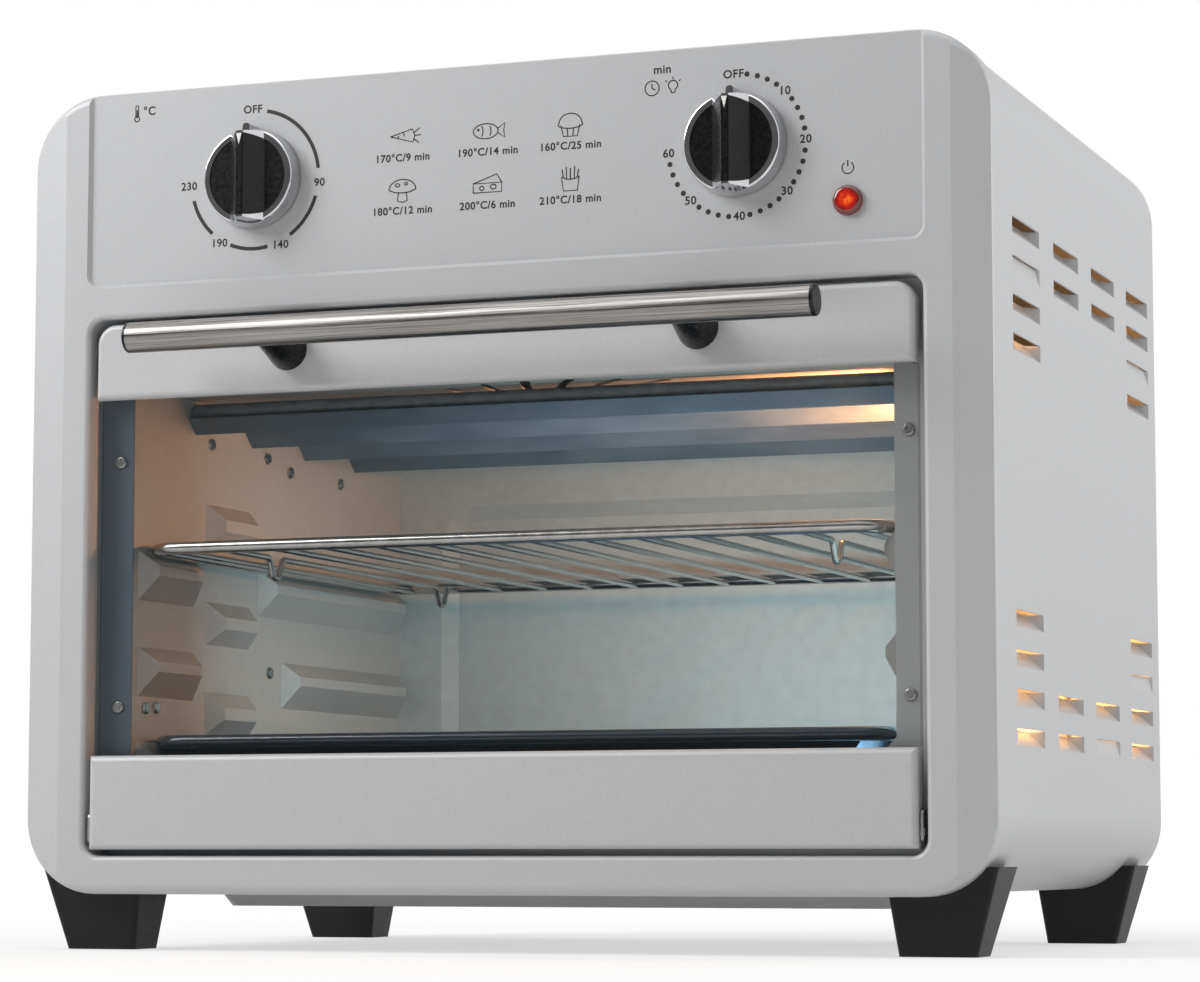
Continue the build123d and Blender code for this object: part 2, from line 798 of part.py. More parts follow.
def wall_bosses(wall):
    rack_top = support_top(rack_half_width, rack_z, rack_rail_radius)
    rim_radius = tray_rim_height / 2
    tray_top = support_top(tray_half_width - rim_radius, tray_rim_top - rim_radius, rim_radius)
    found = [support_boss(front_boss, top, wall) for top in (rack_top, middle_support_top, tray_top)]
    found.append(support_boss(upper_rear_boss, rack_top, wall))
    found += [support_boss(lower_rear_boss, top, wall) for top in (middle_support_top, tray_top)]
    return found + [keeper(low, wall) for low in keeper_lows]


def heater_holes():
    """Holes for every heater through both side walls."""
    radius = heater_radius + heater_hole_gap
    holes = [rod_x(y, upper_heater_z, radius, -wall_outside - 1, wall_outside + 1) for y in upper_heater_ys]
    return holes + [rod_x(y, lower_heater_z, radius, -wall_outside - 1, wall_outside + 1) for y in lower_heater_ys]


def side_wall():
    """The left wall of the cavity, with its supports and heater holes."""
    wall = block(-wall_outside, -cavity_half_width, flange_back, cavity_back, cavity_floor, cavity_ceiling)
    wall += wall_bosses(0)
    wall -= wall_bosses(sheet)
    return wall - heater_holes()


def cavity_right_wall(left):
    wall = mirror(left, Plane.YZ)
    return wall - rod_x(oven_lamp_y, oven_lamp_z, oven_lamp_hole, cavity_half_width - boss_depth - 1,
                        wall_outside + 1)


def cavity_ceiling_plate():
    """The ceiling, with swirling air slots round the fan and an intake of small holes in the middle."""
    plate = block(-wall_outside, wall_outside, flange_back, cavity_back, cavity_ceiling, cavity_ceiling + sheet)
    slots = Sketch()
    r0, r1 = fan_slot_inner, fan_slot_outer
    swirl, bow = radians(fan_slot_swirl), radians(fan_slot_bow)
    for i in range(fan_slot_count):
        a = 2 * pi * i / fan_slot_count
        start = (r0 * cos(a), r0 * sin(a))
        middle = ((r0 + r1) / 2 * cos(a + bow), (r0 + r1) / 2 * sin(a + bow))
        end = (r1 * cos(a + swirl), r1 * sin(a + swirl))
        slots += SlotArc(ThreePointArc(start, middle, end), fan_slot_width)
    slots += PolarLocations(fan_intake_radius * 0.8, 11) * Circle(fan_intake_hole)
    slots += PolarLocations(fan_intake_radius * 0.4, 5) * Circle(fan_intake_hole)
    return plate - extrude(Pos(0, cavity_mid_y, cavity_ceiling - 1) * slots, amount=sheet + 2)


def cavity_floor_plate():
    return block(-wall_outside, wall_outside, flange_back, cavity_back, cavity_floor - sheet, cavity_floor)


def cavity_back_wall():
    low, high = cavity_floor - sheet, cavity_ceiling + sheet
    wall = block(-wall_outside, wall_outside, cavity_back, cavity_back + sheet, low, high)

    def recess(shift):
        mid = (back_recess_low + back_recess_high) / 2
        tall = back_recess_high - back_recess_low
        s = back_recess_slope
        mouth = front_plane(cavity_back + shift) * Pos(0, mid) * RectangleRounded(
            2 * back_recess_half_width, tall, back_recess_corner)
        floor = front_plane(cavity_back + back_recess_depth + shift) * Pos(0, mid) * RectangleRounded(
            2 * (back_recess_half_width - s), tall - 2 * s, back_recess_corner - s)
        return loft([mouth, floor], ruled=True)

    return wall + recess(sheet) - recess(0)


def cavity_flange():
    """The flat frame round the mouth of the cavity, behind the edges of the glass."""
    half = cavity_half_width + flange_margin
    low, high = opening_bottom - flange_lap, opening_top + flange_lap
    plate = rounded(half, low, high, opening_corner + flange_lap, flange_front, flange_back)
    mouth = block(-cavity_half_width, cavity_half_width, flange_front - 1, flange_back + 1, cavity_floor,
                  cavity_ceiling)
    return plate - mouth


def rivet_x(y, z, x_face, direction):
    """A rivet head that stands on a side wall."""
    head = rod_x(y, z, rivet_head_radius, x_face, x_face + direction * rivet_head)
    outer = head.faces().sort_by(Axis.X)[-1 if direction > 0 else 0].edges()
    return fillet(outer, rivet_head * 0.7)


def cavity_rivets():
    """Rivets and screw heads on the side walls and on the flange, each seated on its sheet."""
    heads = []
    for y, z in rivet_places:
        heads.append(rivet_x(y, z, -cavity_half_width, 1))
        if hypot(y - oven_lamp_y, z - oven_lamp_z) > oven_lamp_cover_radius + rivet_head_radius:
            heads.append(rivet_x(y, z, cavity_half_width, -1))
    for z in flange_rivet_zs:
        x = -cavity_half_width - flange_rivet_side
        head = rod_y(x, z, rivet_head_radius, flange_front - rivet_head, flange_front)
        head = fillet(head.faces().sort_by(Axis.Y)[0].edges(), rivet_head * 0.7)
        heads += both_sides(head)
    return heads


# Shelves

def wire_rack():
    """A chromed wire shelf: a bent frame, straight wires welded into it, and two bent wires as stops."""
    y0, y1 = rack_front, rack_back
    loop = Pos(0, (y0 + y1) / 2, rack_z) * RectangleRounded(2 * rack_half_width, y1 - y0, rack_corner)
    path = loop.wires()[0]
    frame = sweep(Plane(origin=path @ 0, z_dir=path % 0) * Circle(rack_rail_radius), path=path)
    wire_z = rack_z - rack_wire_drop
    pitch = rack_wire_span / (rack_wire_count - 1)
    for i in range(rack_wire_count):
        x = -rack_wire_span / 2 + i * pitch
        if i in (1, rack_wire_count - 2):
            frame += dipped_wire(x, y0, y1, wire_z)
        else:
            frame += rod_y(x, wire_z, rack_wire_radius, y0, y1 + rack_wire_back_end)
    return frame


def dipped_wire(x, y0, y1, z):
    """A rack wire with two U bends that stop the rack against the supports."""
    low = z - rack_dip_depth
    half = rack_dip_half_width
    points = [(x, y0, z)]
    for y in (y0 + rack_dip_front, y0 + rack_dip_rear):
        points += [(x, y - half, z), (x, y - half / 3, low), (x, y + half / 3, low), (x, y + half, z)]
    points.append((x, y1 + rack_wire_back_end, z))
    bends = [rack_dip_bend, rack_dip_low_bend, rack_dip_low_bend, rack_dip_bend]
    path = FilletPolyline(*points, radius=2 * bends)
    return sweep(Plane(origin=path @ 0, z_dir=path % 0) * Circle(rack_wire_radius), path=path)


def baking_tray():
    """A shallow enamelled pan with a rolled rim that rides on the lowest supports."""
    y0, y1 = tray_front, tray_back
    half = tray_half_width
    low = tray_rim_top - tray_rim_height
    rim = extrude(level_rectangle(low, -half, half, y0, y1, tray_corner), amount=tray_rim_height)
    rim = fillet(rim.faces().sort_by(Axis.Z)[-1].edges() + rim.faces().sort_by(Axis.Z)[0].edges(),
                 tray_rim_height / 2 - 0.1)
    w, d = tray_rim_width, tray_draft
    floor_z = tray_rim_top - tray_depth

    def well(shift, inset, top):
        mouth = level_rectangle(top, -half + w + inset, half - w - inset, y0 + w + inset, y1 - w - inset,
                                tray_corner - w / 2)
        base = level_rectangle(floor_z + shift, -half + w + d + inset, half - w - d - inset, y0 + w + d + inset,
                               y1 - w - d - inset, tray_corner - w)
        return loft([base, mouth], ruled=True)

    return rim + well(0, 0, tray_rim_top - 1) - well(sheet, sheet, tray_rim_top + 1)


# Heaters

def heater(y, z):
    """A sheathed heater tube that runs through both side walls, with a connection pin at each end."""
    tube = rod_x(y, z, heater_radius, -heater_half_length, heater_half_length)
    pins = rod_x(y, z, heater_pin_radius, -heater_half_length - heater_pin, heater_half_length + heater_pin)
    return tube + pins


def heater_guard(y):
    """A folded strip under an upper heater, open upwards."""
    half, top, low = guard_half_width, guard_top, guard_top - guard_drop
    side = guard_side_wall
    fold = Polyline((y - half, top), (y, low), (y + half, top), (y + half - side, top),
                    (y, low + guard_apex_wall), (y - half + side, top), close=True)
    reach = cavity_half_width - seat_gap
    return extrude(Plane.YZ.offset(-reach) * make_face(fold), amount=2 * reach)


def heater_insulators():
    """A ceramic ring on each end of each heater, outside the cavity wall."""
    rings = []
    places = [(y, upper_heater_z) for y in upper_heater_ys] + [(y, lower_heater_z) for y in lower_heater_ys]
    for y, z in places:
        ring = rod_x(y, z, insulator_radius, wall_outside, wall_outside + insulator_length)
        ring -= rod_x(y, z, heater_radius + insulator_gap, wall_outside - 1, wall_outside + insulator_length + 1)
        rings += both_sides(ring)
    return rings


# Fan

def fan_shroud():
    """The round air box over the ceiling, with a flange that sits on it."""
    base = cavity_ceiling + sheet
    box = rod_z(0, cavity_mid_y, shroud_radius, base, shroud_top)
    box += rod_z(0, cavity_mid_y, shroud_radius + shroud_flange, base, base + sheet)
    box -= rod_z(0, cavity_mid_y, shroud_radius - sheet, base - 1, shroud_top - sheet)
    return box - rod_z(0, cavity_mid_y, motor_shaft_radius + motor_hole_gap, shroud_top - 2, shroud_top + 1)


def fan_impeller():
    """Radial blades under a disc, with a hub on the motor shaft."""
    wheel = rod_z(0, cavity_mid_y, impeller_radius, impeller_high, impeller_high + impeller_blade)
    wheel += rod_z(0, cavity_mid_y, impeller_hub, impeller_low, impeller_high)
    mid = (impeller_inner + impeller_radius) / 2
    blade_length = impeller_radius - impeller_inner - impeller_blade
    blade = Pos(mid, 0, (impeller_low + impeller_high) / 2) * Rot(0, 0, impeller_blade_turn) * Box(
        blade_length, impeller_blade, impeller_height)
    for i in range(impeller_blades):
        wheel += Pos(0, cavity_mid_y, 0) * Rot(0, 0, 360 * i / impeller_blades) * blade
    return wheel + rod_z(0, cavity_mid_y, motor_shaft_radius, impeller_low, motor_low + motor_shaft_rise)


def fan_motor():
    """A shaded-pole motor with a square core, a coil and two bearing housings."""
    half, core_low = motor_half_width, motor_low + motor_core_low
    core = block(-half, half, cavity_mid_y - half, cavity_mid_y + half, core_low, core_low + motor_core_height)
    core = fillet(core.edges().filter_by(Axis.Z), motor_corner)
    motor = core + rod_z(0, cavity_mid_y, motor_bearing_radius, motor_low, motor_low + motor_height)
    coil_back = cavity_mid_y + half + coil_reach
    coil = block(-coil_half_width, coil_half_width, coil_back - coil_reach - coil_lap, coil_back,
                 motor_low + coil_inset, motor_low + motor_height - coil_inset)
    motor += fillet(coil.edges().filter_by(Axis.X), coil_corner)
    return motor - rod_z(0, cavity_mid_y, motor_shaft_radius + shaft_clearance, motor_low - 1,
                         motor_low + motor_shaft_rise + 1)


def motor_bracket():
    """A bridge that carries the motor over the air box."""
    half = motor_bracket_length / 2
    wide = motor_bracket_width / 2
    t = motor_bracket_sheet
    reach = half + motor_bracket_foot
    y0, y1 = cavity_mid_y - wide, cavity_mid_y + wide
    bridge = block(-half, half, y0, y1, motor_low - t, motor_low)
    for x0, x1 in ((-half, -half + t), (half - t, half)):
        bridge += block(x0, x1, y0, y1, shroud_top, motor_low)
    for x0, x1 in ((-reach, -half + t), (half - t, reach)):
        bridge += block(x0, x1, y0, y1, shroud_top, shroud_top + t)
    return bridge - rod_z(0, cavity_mid_y, motor_shaft_radius + motor_hole_gap, shroud_top - 1, motor_low + 1)


# Controls

def knob_cone():
    """The cone that trims both ends of the grip."""
    return cone_y(0, 0, knob_front_radius, knob_ridge_end_radius, knob_face, knob_front)


def knob_ridge():
    """The straight finger grip across the face of a knob."""
    half_base, half_top = knob_ridge_base / 2, knob_ridge_top / 2
    section = Polyline((-half_base, knob_face + knob_insert_drop), (-half_top, knob_front), (half_top, knob_front),
                       (half_base, knob_face + knob_insert_drop), close=True)
    reach = knob_radius + 1
    bar = extrude(Pos(0, 0, -reach) * make_face(section), amount=2 * reach)
    bar = fillet(bar.edges().filter_by(Axis.Z).sort_by(Axis.Y)[:2], knob_ridge_edge)
    return bar & (knob_cone() + rod_y(0, 0, knob_front_radius, knob_face, knob_face + 1))


def knob_grip():
    """The black face and finger grip of a knob."""
    face = rod_y(0, 0, knob_insert_radius, knob_face + knob_insert_drop, knob_back)
    grip = face + (knob_ridge() & rod_y(0, 0, knob_insert_radius, knob_front - 1, knob_back))
    return grip - rod_y(0, 0, shaft_radius, knob_back - shaft_in_knob, knob_back + 1)


def knob_skirt():
    """The chromed ring round a knob, with the ends of the grip and a pointer at the top."""
    inside = knob_insert_radius + knob_insert_gap
    ring = cone_y(0, 0, knob_radius, knob_front_radius, knob_back, knob_face)
    ring = fillet(ring.faces().sort_by(Axis.Y)[0].edges(), knob_edge_radius)
    pointer = block(-knob_pointer_width / 2, knob_pointer_width / 2, knob_face - knob_pointer_stand, knob_back,
                    knob_insert_radius, knob_radius + knob_pointer_reach)
    pointer = fillet(pointer.edges().filter_by(Axis.Y).sort_by(Axis.Z)[-2:], knob_pointer_width * 0.4)
    whole = ring + knob_ridge() + pointer
    return whole - rod_y(0, 0, inside, knob_front - 1, knob_back + 1)


def knob_shaft():
    return rod_y(0, 0, shaft_radius, knob_back - shaft_in_knob, panel_back + shaft_depth)


def thermostat_body():
    y0 = panel_back + seat_gap
    half_w, half_h = thermostat_width / 2, thermostat_height / 2
    body = block(-half_w, half_w, y0, y0 + thermostat_depth, -half_h, half_h)
    body = fillet(body.edges().filter_by(Axis.Y), control_corner)
    body += rod_y(0, 0, shaft_hole_radius - seat_gap, panel_front + sheet / 4, y0 + 1)
    return body - rod_y(0, 0, shaft_radius + shaft_clearance, panel_front, panel_back + shaft_depth + 1)


def timer_body():
    y0 = panel_back + seat_gap
    body = rod_y(0, 0, timer_radius, y0, y0 + timer_depth)
    body = fillet(body.faces().sort_by(Axis.Y)[-1].edges(), control_corner)
    body += rod_y(0, 0, shaft_hole_radius - seat_gap, panel_front + sheet / 4, y0 + 1)
    return body - rod_y(0, 0, shaft_radius + shaft_clearance, panel_front, panel_back + shaft_depth + 1)


def power_lamp_lens():
    """A domed lens with a thin rim that sits on the panel."""
    lens = rod_y(power_lamp_x, power_lamp_z, power_lamp_radius, panel_front - power_lamp_dome, panel_front)
    return fillet(lens.faces().sort_by(Axis.Y)[0].edges(), power_lamp_dome * 0.75)


def power_lamp_body():
    body = rod_y(power_lamp_x, power_lamp_z, power_lamp_body_radius, panel_front,
                 panel_front + power_lamp_body_length)
    nut = rod_y(power_lamp_x, power_lamp_z, power_lamp_radius + power_lamp_nut, panel_back,
                panel_back + power_lamp_nut_depth)
    return body + nut


# Oven lamp

def oven_lamp_cover():
    """A clear dome over the lamp hole, inside the cavity."""
    x = cavity_half_width
    rim = rod_x(oven_lamp_y, oven_lamp_z, oven_lamp_cover_radius, x - oven_lamp_rim_depth, x)
    dome = rod_x(oven_lamp_y, oven_lamp_z, oven_lamp_hole, x - oven_lamp_cover_reach, x)
    dome = fillet(dome.faces().sort_by(Axis.X)[0].edges(), oven_lamp_cover_reach * 0.7)
    wall = oven_lamp_cover_wall
    hollow = rod_x(oven_lamp_y, oven_lamp_z, oven_lamp_hole - wall, x - oven_lamp_cover_reach + wall, x + 1)
    hollow = fillet(hollow.faces().sort_by(Axis.X)[0].edges(), oven_lamp_cover_reach * 0.5)
    return rim + dome - hollow


def oven_lamp_holder():
    """A metal cup on the outside of the right wall, which carries the bulb."""
    x0, x1 = wall_outside, wall_outside + oven_lamp_holder_length
    cup = rod_x(oven_lamp_y, oven_lamp_z, oven_lamp_holder_radius, x0, x1)
    return cup - rod_x(oven_lamp_y, oven_lamp_z, oven_lamp_holder_radius - sheet, x0 - 1,
                       x1 - oven_lamp_holder_end)


def oven_lamp_bulb():
    """A small oven bulb on its metal base."""
    back = wall_outside + oven_lamp_holder_length - oven_lamp_holder_end
    base = rod_x(oven_lamp_y, oven_lamp_z, oven_lamp_base_radius, back - oven_lamp_base_length, back)
    neck = back - oven_lamp_base_length + 1
    glass = rod_x(oven_lamp_y, oven_lamp_z, oven_lamp_bulb_radius, neck - oven_lamp_bulb_length, neck)
    glass = fillet(glass.faces().sort_by(Axis.X)[0].edges(), oven_lamp_bulb_radius - 0.2)
    return base + glass


# Door

def door_bottom_rail():
    """The plain lower panel of the door, a pan that is open behind."""
    half, low, high = door_half_width, bottom_rail_low, bottom_rail_high
    rail = block(-half, half, bottom_rail_front, rail_back, low, high)
    rail = fillet(rail.faces().sort_by(Axis.Y)[0].edges(), rail_edge_radius)
    t = rail_wall
    rail -= block(-half + t, half - t, bottom_rail_front + t, rail_back + 1, low + sheet, high - sheet)
    rail -= block(-half + t, half - t, glass_front - seat_gap, rail_back + 1, high - 2, high + 1)
    return rail - both_sides(rod_x(hinge_y, hinge_z, hinge_pin_radius, -half - 1, -half + 2 * t))


def door_top_rail():
    """The upper panel of the door, which carries the handle."""
    half, low, high = door_half_width, top_rail_low, top_rail_high
    rail = block(-half, half, top_rail_front, rail_back, low, high)
    upper = rail.edges().filter_by(Axis.Y).sort_by(Axis.Z)[-2:]
    rail = fillet(upper, top_rail_corner)
    rail = fillet(rail.faces().sort_by(Axis.Y)[0].edges(), rail_edge_radius)
    t = rail_wall
    hollow = block(-half + t, half - t, top_rail_front + t, rail_back + 1, low + sheet, high - t)
    hollow = fillet(hollow.edges().filter_by(Axis.Y).sort_by(Axis.Z)[-2:], top_rail_corner - t)
    rail -= hollow
    rail -= block(-half - 1, half + 1, glass_front - seat_gap, rail_back + 1, low - 1, low + 2)
    for x in (-post_spacing / 2, post_spacing / 2):
        rail -= rod_y(x, post_base_z, handle_screw_radius, top_rail_front - 1, top_rail_front + t + 1)
    return rail


def door_glass():
    """Toughened glass behind both rails, with two holes for the handle screws."""
    half = door_half_width - rail_wall - seat_gap
    low, high = bottom_rail_high + seat_gap, top_rail_low - seat_gap
    pane = block(-door_half_width, door_half_width, glass_front, glass_back, low, high)
    pane += block(-half, half, glass_front, glass_back, glass_low, glass_high)
    pane = fillet(pane.edges().filter_by(Axis.Y).sort_by(Axis.Z)[-2:], glass_corner)
    for x in (-post_spacing / 2, post_spacing / 2):
        pane -= rod_y(x, post_base_z, handle_screw_radius + seat_gap, glass_front - 1, glass_back + 1)
    return pane


def handle_bar():
    half = handle_half - handle_cap
    bar = rod_x(handle_y, handle_z, handle_radius, -half, half)
    bar -= rod_x(handle_y, handle_z, handle_radius - handle_wall, -half - 1, half + 1)
    for x in (-post_spacing / 2, post_spacing / 2):
        bar -= rod_y(x, handle_z, post_tip_radius, handle_y, handle_y + handle_radius + 1)
    return bar


def handle_end_caps():
    half = handle_half
    plug = rod_x(handle_y, handle_z, handle_radius - handle_wall, -half + handle_cap,
                 -half + handle_cap + handle_cap_plug)
    cap = rod_x(handle_y, handle_z, handle_radius, -half, -half + handle_cap)
    cap = fillet(cap.faces().sort_by(Axis.X)[0].edges(), handle_cap * 0.5)
    return both_sides(cap + plug)


def handle_post(x):
    """A black post that leans up from the door to the bar, wider where it meets the door."""
    foot_face = front_plane(top_rail_front) * Pos(x, post_base_z) * Circle(post_base_radius)
    seat = handle_y + handle_radius - post_saddle
    tip_face = front_plane(seat) * Pos(x, handle_z) * Circle(post_tip_radius)
    post = loft([foot_face, tip_face], ruled=True)
    post += rod_y(x, handle_z, post_tip_radius, handle_y + seat_gap, seat)
    pocket = rod_y(x, handle_z, post_tip_radius, handle_y, handle_y + handle_radius + 1)
    reach = 2 * post_base_radius
    post -= rod_x(handle_y, handle_z, handle_radius, x - reach, x + reach) - pocket
    return post - rod_y(x, post_base_z, handle_screw_radius, top_rail_front - handle_screw_depth, top_rail_front + 1)


def handle_screw(x):
    """A screw from behind the glass into a handle post."""
    shank = rod_y(x, post_base_z, handle_screw_radius, top_rail_front - handle_screw_depth, glass_back)
    head = rod_y(x, post_base_z, handle_screw_head_radius, glass_back, glass_back + handle_screw_head)
    return shank + fillet(head.faces().sort_by(Axis.Y)[-1].edges(), handle_screw_head * 0.6)


def hinge_pin():
    """The left hinge pin: a head inside the lower rail and a shank through the bracket."""
    inner = -door_half_width + rail_wall
    tip = -door_half_width - hinge_ear_gap - hinge_ear - seat_gap
    head = rod_x(hinge_y, hinge_z, hinge_pin_head_radius, inner, inner + hinge_pin_head)
    return head + rod_x(hinge_y, hinge_z, hinge_pin_radius, tip, inner)


def hinge_bracket():
    """The left hinge bracket: a foot on the flange of the cavity and an ear beside the door."""
    x1 = -door_half_width - hinge_ear_gap
    x0 = x1 - hinge_ear
    low = hinge_z - hinge_ear_below
    high = hinge_z + hinge_ear_above
    ear = block(x0, x1, hinge_y - hinge_ear_front, flange_front, low, high)
    ear = fillet(ear.edges().filter_by(Axis.X).sort_by(Axis.Y)[:2], hinge_ear_corner)
    foot_plate = block(x0, x0 + hinge_ear_foot, flange_front - sheet, flange_front, low, high)
    return ear + foot_plate - rod_x(hinge_y, hinge_z, hinge_pin_radius + hinge_clearance, x0 - 1, x1 + 1)


def terminal_block():
    """The screw terminal where the supply comes in, on the back cover."""
    x, z = half_body - terminal_side, cover_bulge_high + terminal_rise
    y1 = shell_end - sheet
    y0 = y1 - terminal_depth
    body = block(x - terminal_width / 2, x + terminal_width / 2, y0, y1, z - terminal_height / 2,
                 z + terminal_height / 2)
    for i in (-1, 0, 1):
        body -= rod_y(x + i * terminal_pitch, z, terminal_hole, y0 - 1, y0 + terminal_hole_depth)
    return body


def build():
    os.makedirs("parts", exist_ok=True)
    save("front_frame", front_frame())
    top, left, right, strips = cabinet_panels()
    save("cabinet_top", top)
    save("cabinet_left_side", left)
    save("cabinet_right_side", right)
    save("cabinet_bottom_strips", *strips)
    save("base_plate", base_plate())
    save("back_cover", back_cover())
    for place, y in (("front", foot_front_y), ("rear", foot_rear_y)):
        right = foot(y)
        save(f"foot_{place}_right", right)
        save(f"foot_{place}_left", mirror(right, Plane.YZ))
    save("foot_screws", *[foot_screw(x, y) for x in (-foot_screw_x, foot_screw_x) for y in foot_screw_ys])
    save("cover_screws", *[head_screw(x, z, shell_end) for x, z in cover_screw_places()])
    save("cord_gland", cord_gland())
    save("terminal_block", terminal_block())

    left_wall = side_wall()
    save("cavity_left_wall", left_wall)
    save("cavity_right_wall", cavity_right_wall(left_wall))
    save("cavity_ceiling", cavity_ceiling_plate())
    save("cavity_floor", cavity_floor_plate())
    save("cavity_back_wall", cavity_back_wall())
    save("cavity_flange", cavity_flange())
    save("cavity_rivets", *cavity_rivets())

    save("upper_heaters", *[heater(y, upper_heater_z) for y in upper_heater_ys])
    for number, y in enumerate(upper_heater_ys, 1):
        save(f"heater_guard_{number}", heater_guard(y))
    save("lower_heaters", *[heater(y, lower_heater_z) for y in lower_heater_ys])
    save("heater_insulators", *heater_insulators())

    save("fan_shroud", fan_shroud())
    save("fan_impeller", fan_impeller())
    save("fan_motor", fan_motor())
    save("motor_bracket", motor_bracket())

    for name, x in (("temperature", -dial_half_spacing), ("timer", dial_half_spacing)):
        place = Pos(x, 0, dial_z)
        save(f"{name}_knob_grip", place * knob_grip())
        save(f"{name}_knob_skirt", place * knob_skirt())
        save(f"{name}_shaft", place * knob_shaft())
    save("thermostat_body", Pos(-dial_half_spacing, 0, dial_z) * thermostat_body())
    save("timer_body", Pos(dial_half_spacing, 0, dial_z) * timer_body())
    save("power_lamp_lens", power_lamp_lens())
    save("power_lamp_body", power_lamp_body())
    save("oven_lamp_cover", oven_lamp_cover())
    save("oven_lamp_holder", oven_lamp_holder())
    save("oven_lamp_bulb", oven_lamp_bulb())

    save("door_bottom_rail", door_bottom_rail())
    save("door_top_rail", door_top_rail())
    save("door_glass", door_glass())
    save("handle_bar", handle_bar())
    save("handle_end_caps", *handle_end_caps())
    save("handle_post_left", handle_post(-post_spacing / 2))
    save("handle_post_right", handle_post(post_spacing / 2))
    save("handle_screws", *[handle_screw(x) for x in (-post_spacing / 2, post_spacing / 2)])
    save("hinge_pins", *both_sides(hinge_pin()))
    save("hinge_brackets", *both_sides(hinge_bracket()))

    save("wire_rack", wire_rack())
    save("baking_tray", baking_tray())
    print(len(written), "pieces; origin is", round((handle_front + back_end) / 2, 3), "mm behind the front face")


build()
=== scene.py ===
# %% [markdown]
# # A countertop air fryer oven
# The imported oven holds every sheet, rod and knob at its real size. This lesson gives each of them the
# finish that the real one has, adds the printed dials, the screws and the small things that only show
# close up, and then sets the camera and the lights. All lengths are in metres, so sizes that are known
# in millimetres are multiplied by MM.

# %% Load the oven and keep its box
import math

import bpy
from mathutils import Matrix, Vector


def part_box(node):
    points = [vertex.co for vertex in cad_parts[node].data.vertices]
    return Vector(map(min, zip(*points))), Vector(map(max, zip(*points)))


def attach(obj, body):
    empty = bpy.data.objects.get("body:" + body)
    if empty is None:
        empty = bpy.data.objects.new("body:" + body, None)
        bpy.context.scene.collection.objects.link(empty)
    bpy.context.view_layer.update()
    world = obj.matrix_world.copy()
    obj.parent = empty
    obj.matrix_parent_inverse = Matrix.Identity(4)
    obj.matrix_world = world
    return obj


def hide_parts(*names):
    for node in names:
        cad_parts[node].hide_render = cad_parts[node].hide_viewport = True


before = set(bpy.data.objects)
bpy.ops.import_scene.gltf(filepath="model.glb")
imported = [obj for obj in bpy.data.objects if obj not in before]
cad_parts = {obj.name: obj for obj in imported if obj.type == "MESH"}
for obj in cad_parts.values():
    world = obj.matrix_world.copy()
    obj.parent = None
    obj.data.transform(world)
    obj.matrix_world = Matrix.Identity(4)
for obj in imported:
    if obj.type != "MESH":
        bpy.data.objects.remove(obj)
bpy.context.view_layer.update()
MM = 0.001
OVEN = "oven"

# %% [markdown]
# ## Helpers for finishes
# A colour is written as a sRGB hex value, as a paint maker would give it, and turned to linear light here.
# Every shader node is added by one small function that takes its settings and what feeds its sockets.
# A noise field mostly stays between NOISE_LOW and NOISE_HIGH, so a spread over it starts and ends there.

# %% Colour and node helpers
NOISE_LOW, NOISE_HIGH = 0.3, 0.7


def linear(hex_color):
    """A sRGB hex colour as a linear colour with full alpha, by the sRGB formula."""
    channels = [int(hex_color[i:i + 2], 16) / 255 for i in (1, 3, 5)]
    return [c / 12.92 if c <= 0.04045 else ((c + 0.055) / 1.055) ** 2.4 for c in channels] + [1.0]


def add_node(material, kind, inputs=None, **settings):
    """Adds a node, sets its properties, and feeds its sockets with values or with other sockets."""
    node = material.node_tree.nodes.new(kind)
    for name, value in settings.items():
        setattr(node, name, value)
    for name, value in (inputs or {}).items():
        if isinstance(value, bpy.types.NodeSocket):
            material.node_tree.links.new(value, node.inputs[name])
        else:
            node.inputs[name].default_value = value
    return node


def start_finish(name, color, metallic, roughness, **sockets):
    """A new material with its Principled shader set. Returns the material and the shader."""
    material = bpy.data.materials.new(name)
    material.use_nodes = True
    shader = material.node_tree.nodes["Principled BSDF"]
    shader.inputs["Base Color"].default_value = linear(color)
    shader.inputs["Metallic"].default_value = metallic
    shader.inputs["Roughness"].default_value = roughness
    for socket, value in sockets.items():
        shader.inputs[socket.replace("_", " ")].default_value = value
    return material, shader


def noise_field(material, size_mm, stretch=(1, 1, 1), detail=3.0):
    """A noise whose grains are about size_mm across, drawn out along an axis where stretch is small."""
    place = add_node(material, "ShaderNodeTexCoord")
    scaled = add_node(material, "ShaderNodeMapping", {"Vector": place.outputs["Object"], "Scale": stretch})
    noise = add_node(material, "ShaderNodeTexNoise", {"Vector": scaled.outputs["Vector"],
                                                      "Scale": 1 / (size_mm * MM), "Detail": detail})
    return noise.outputs["Fac"]


def vary_roughness(material, shader, field, low, high):
    """Spreads the roughness between two values by a noise field."""
    spread = add_node(material, "ShaderNodeMapRange", {"Value": field, "From Min": NOISE_LOW,
                                                       "From Max": NOISE_HIGH, "To Min": low, "To Max": high})
    material.node_tree.links.new(spread.outputs["Result"], shader.inputs["Roughness"])


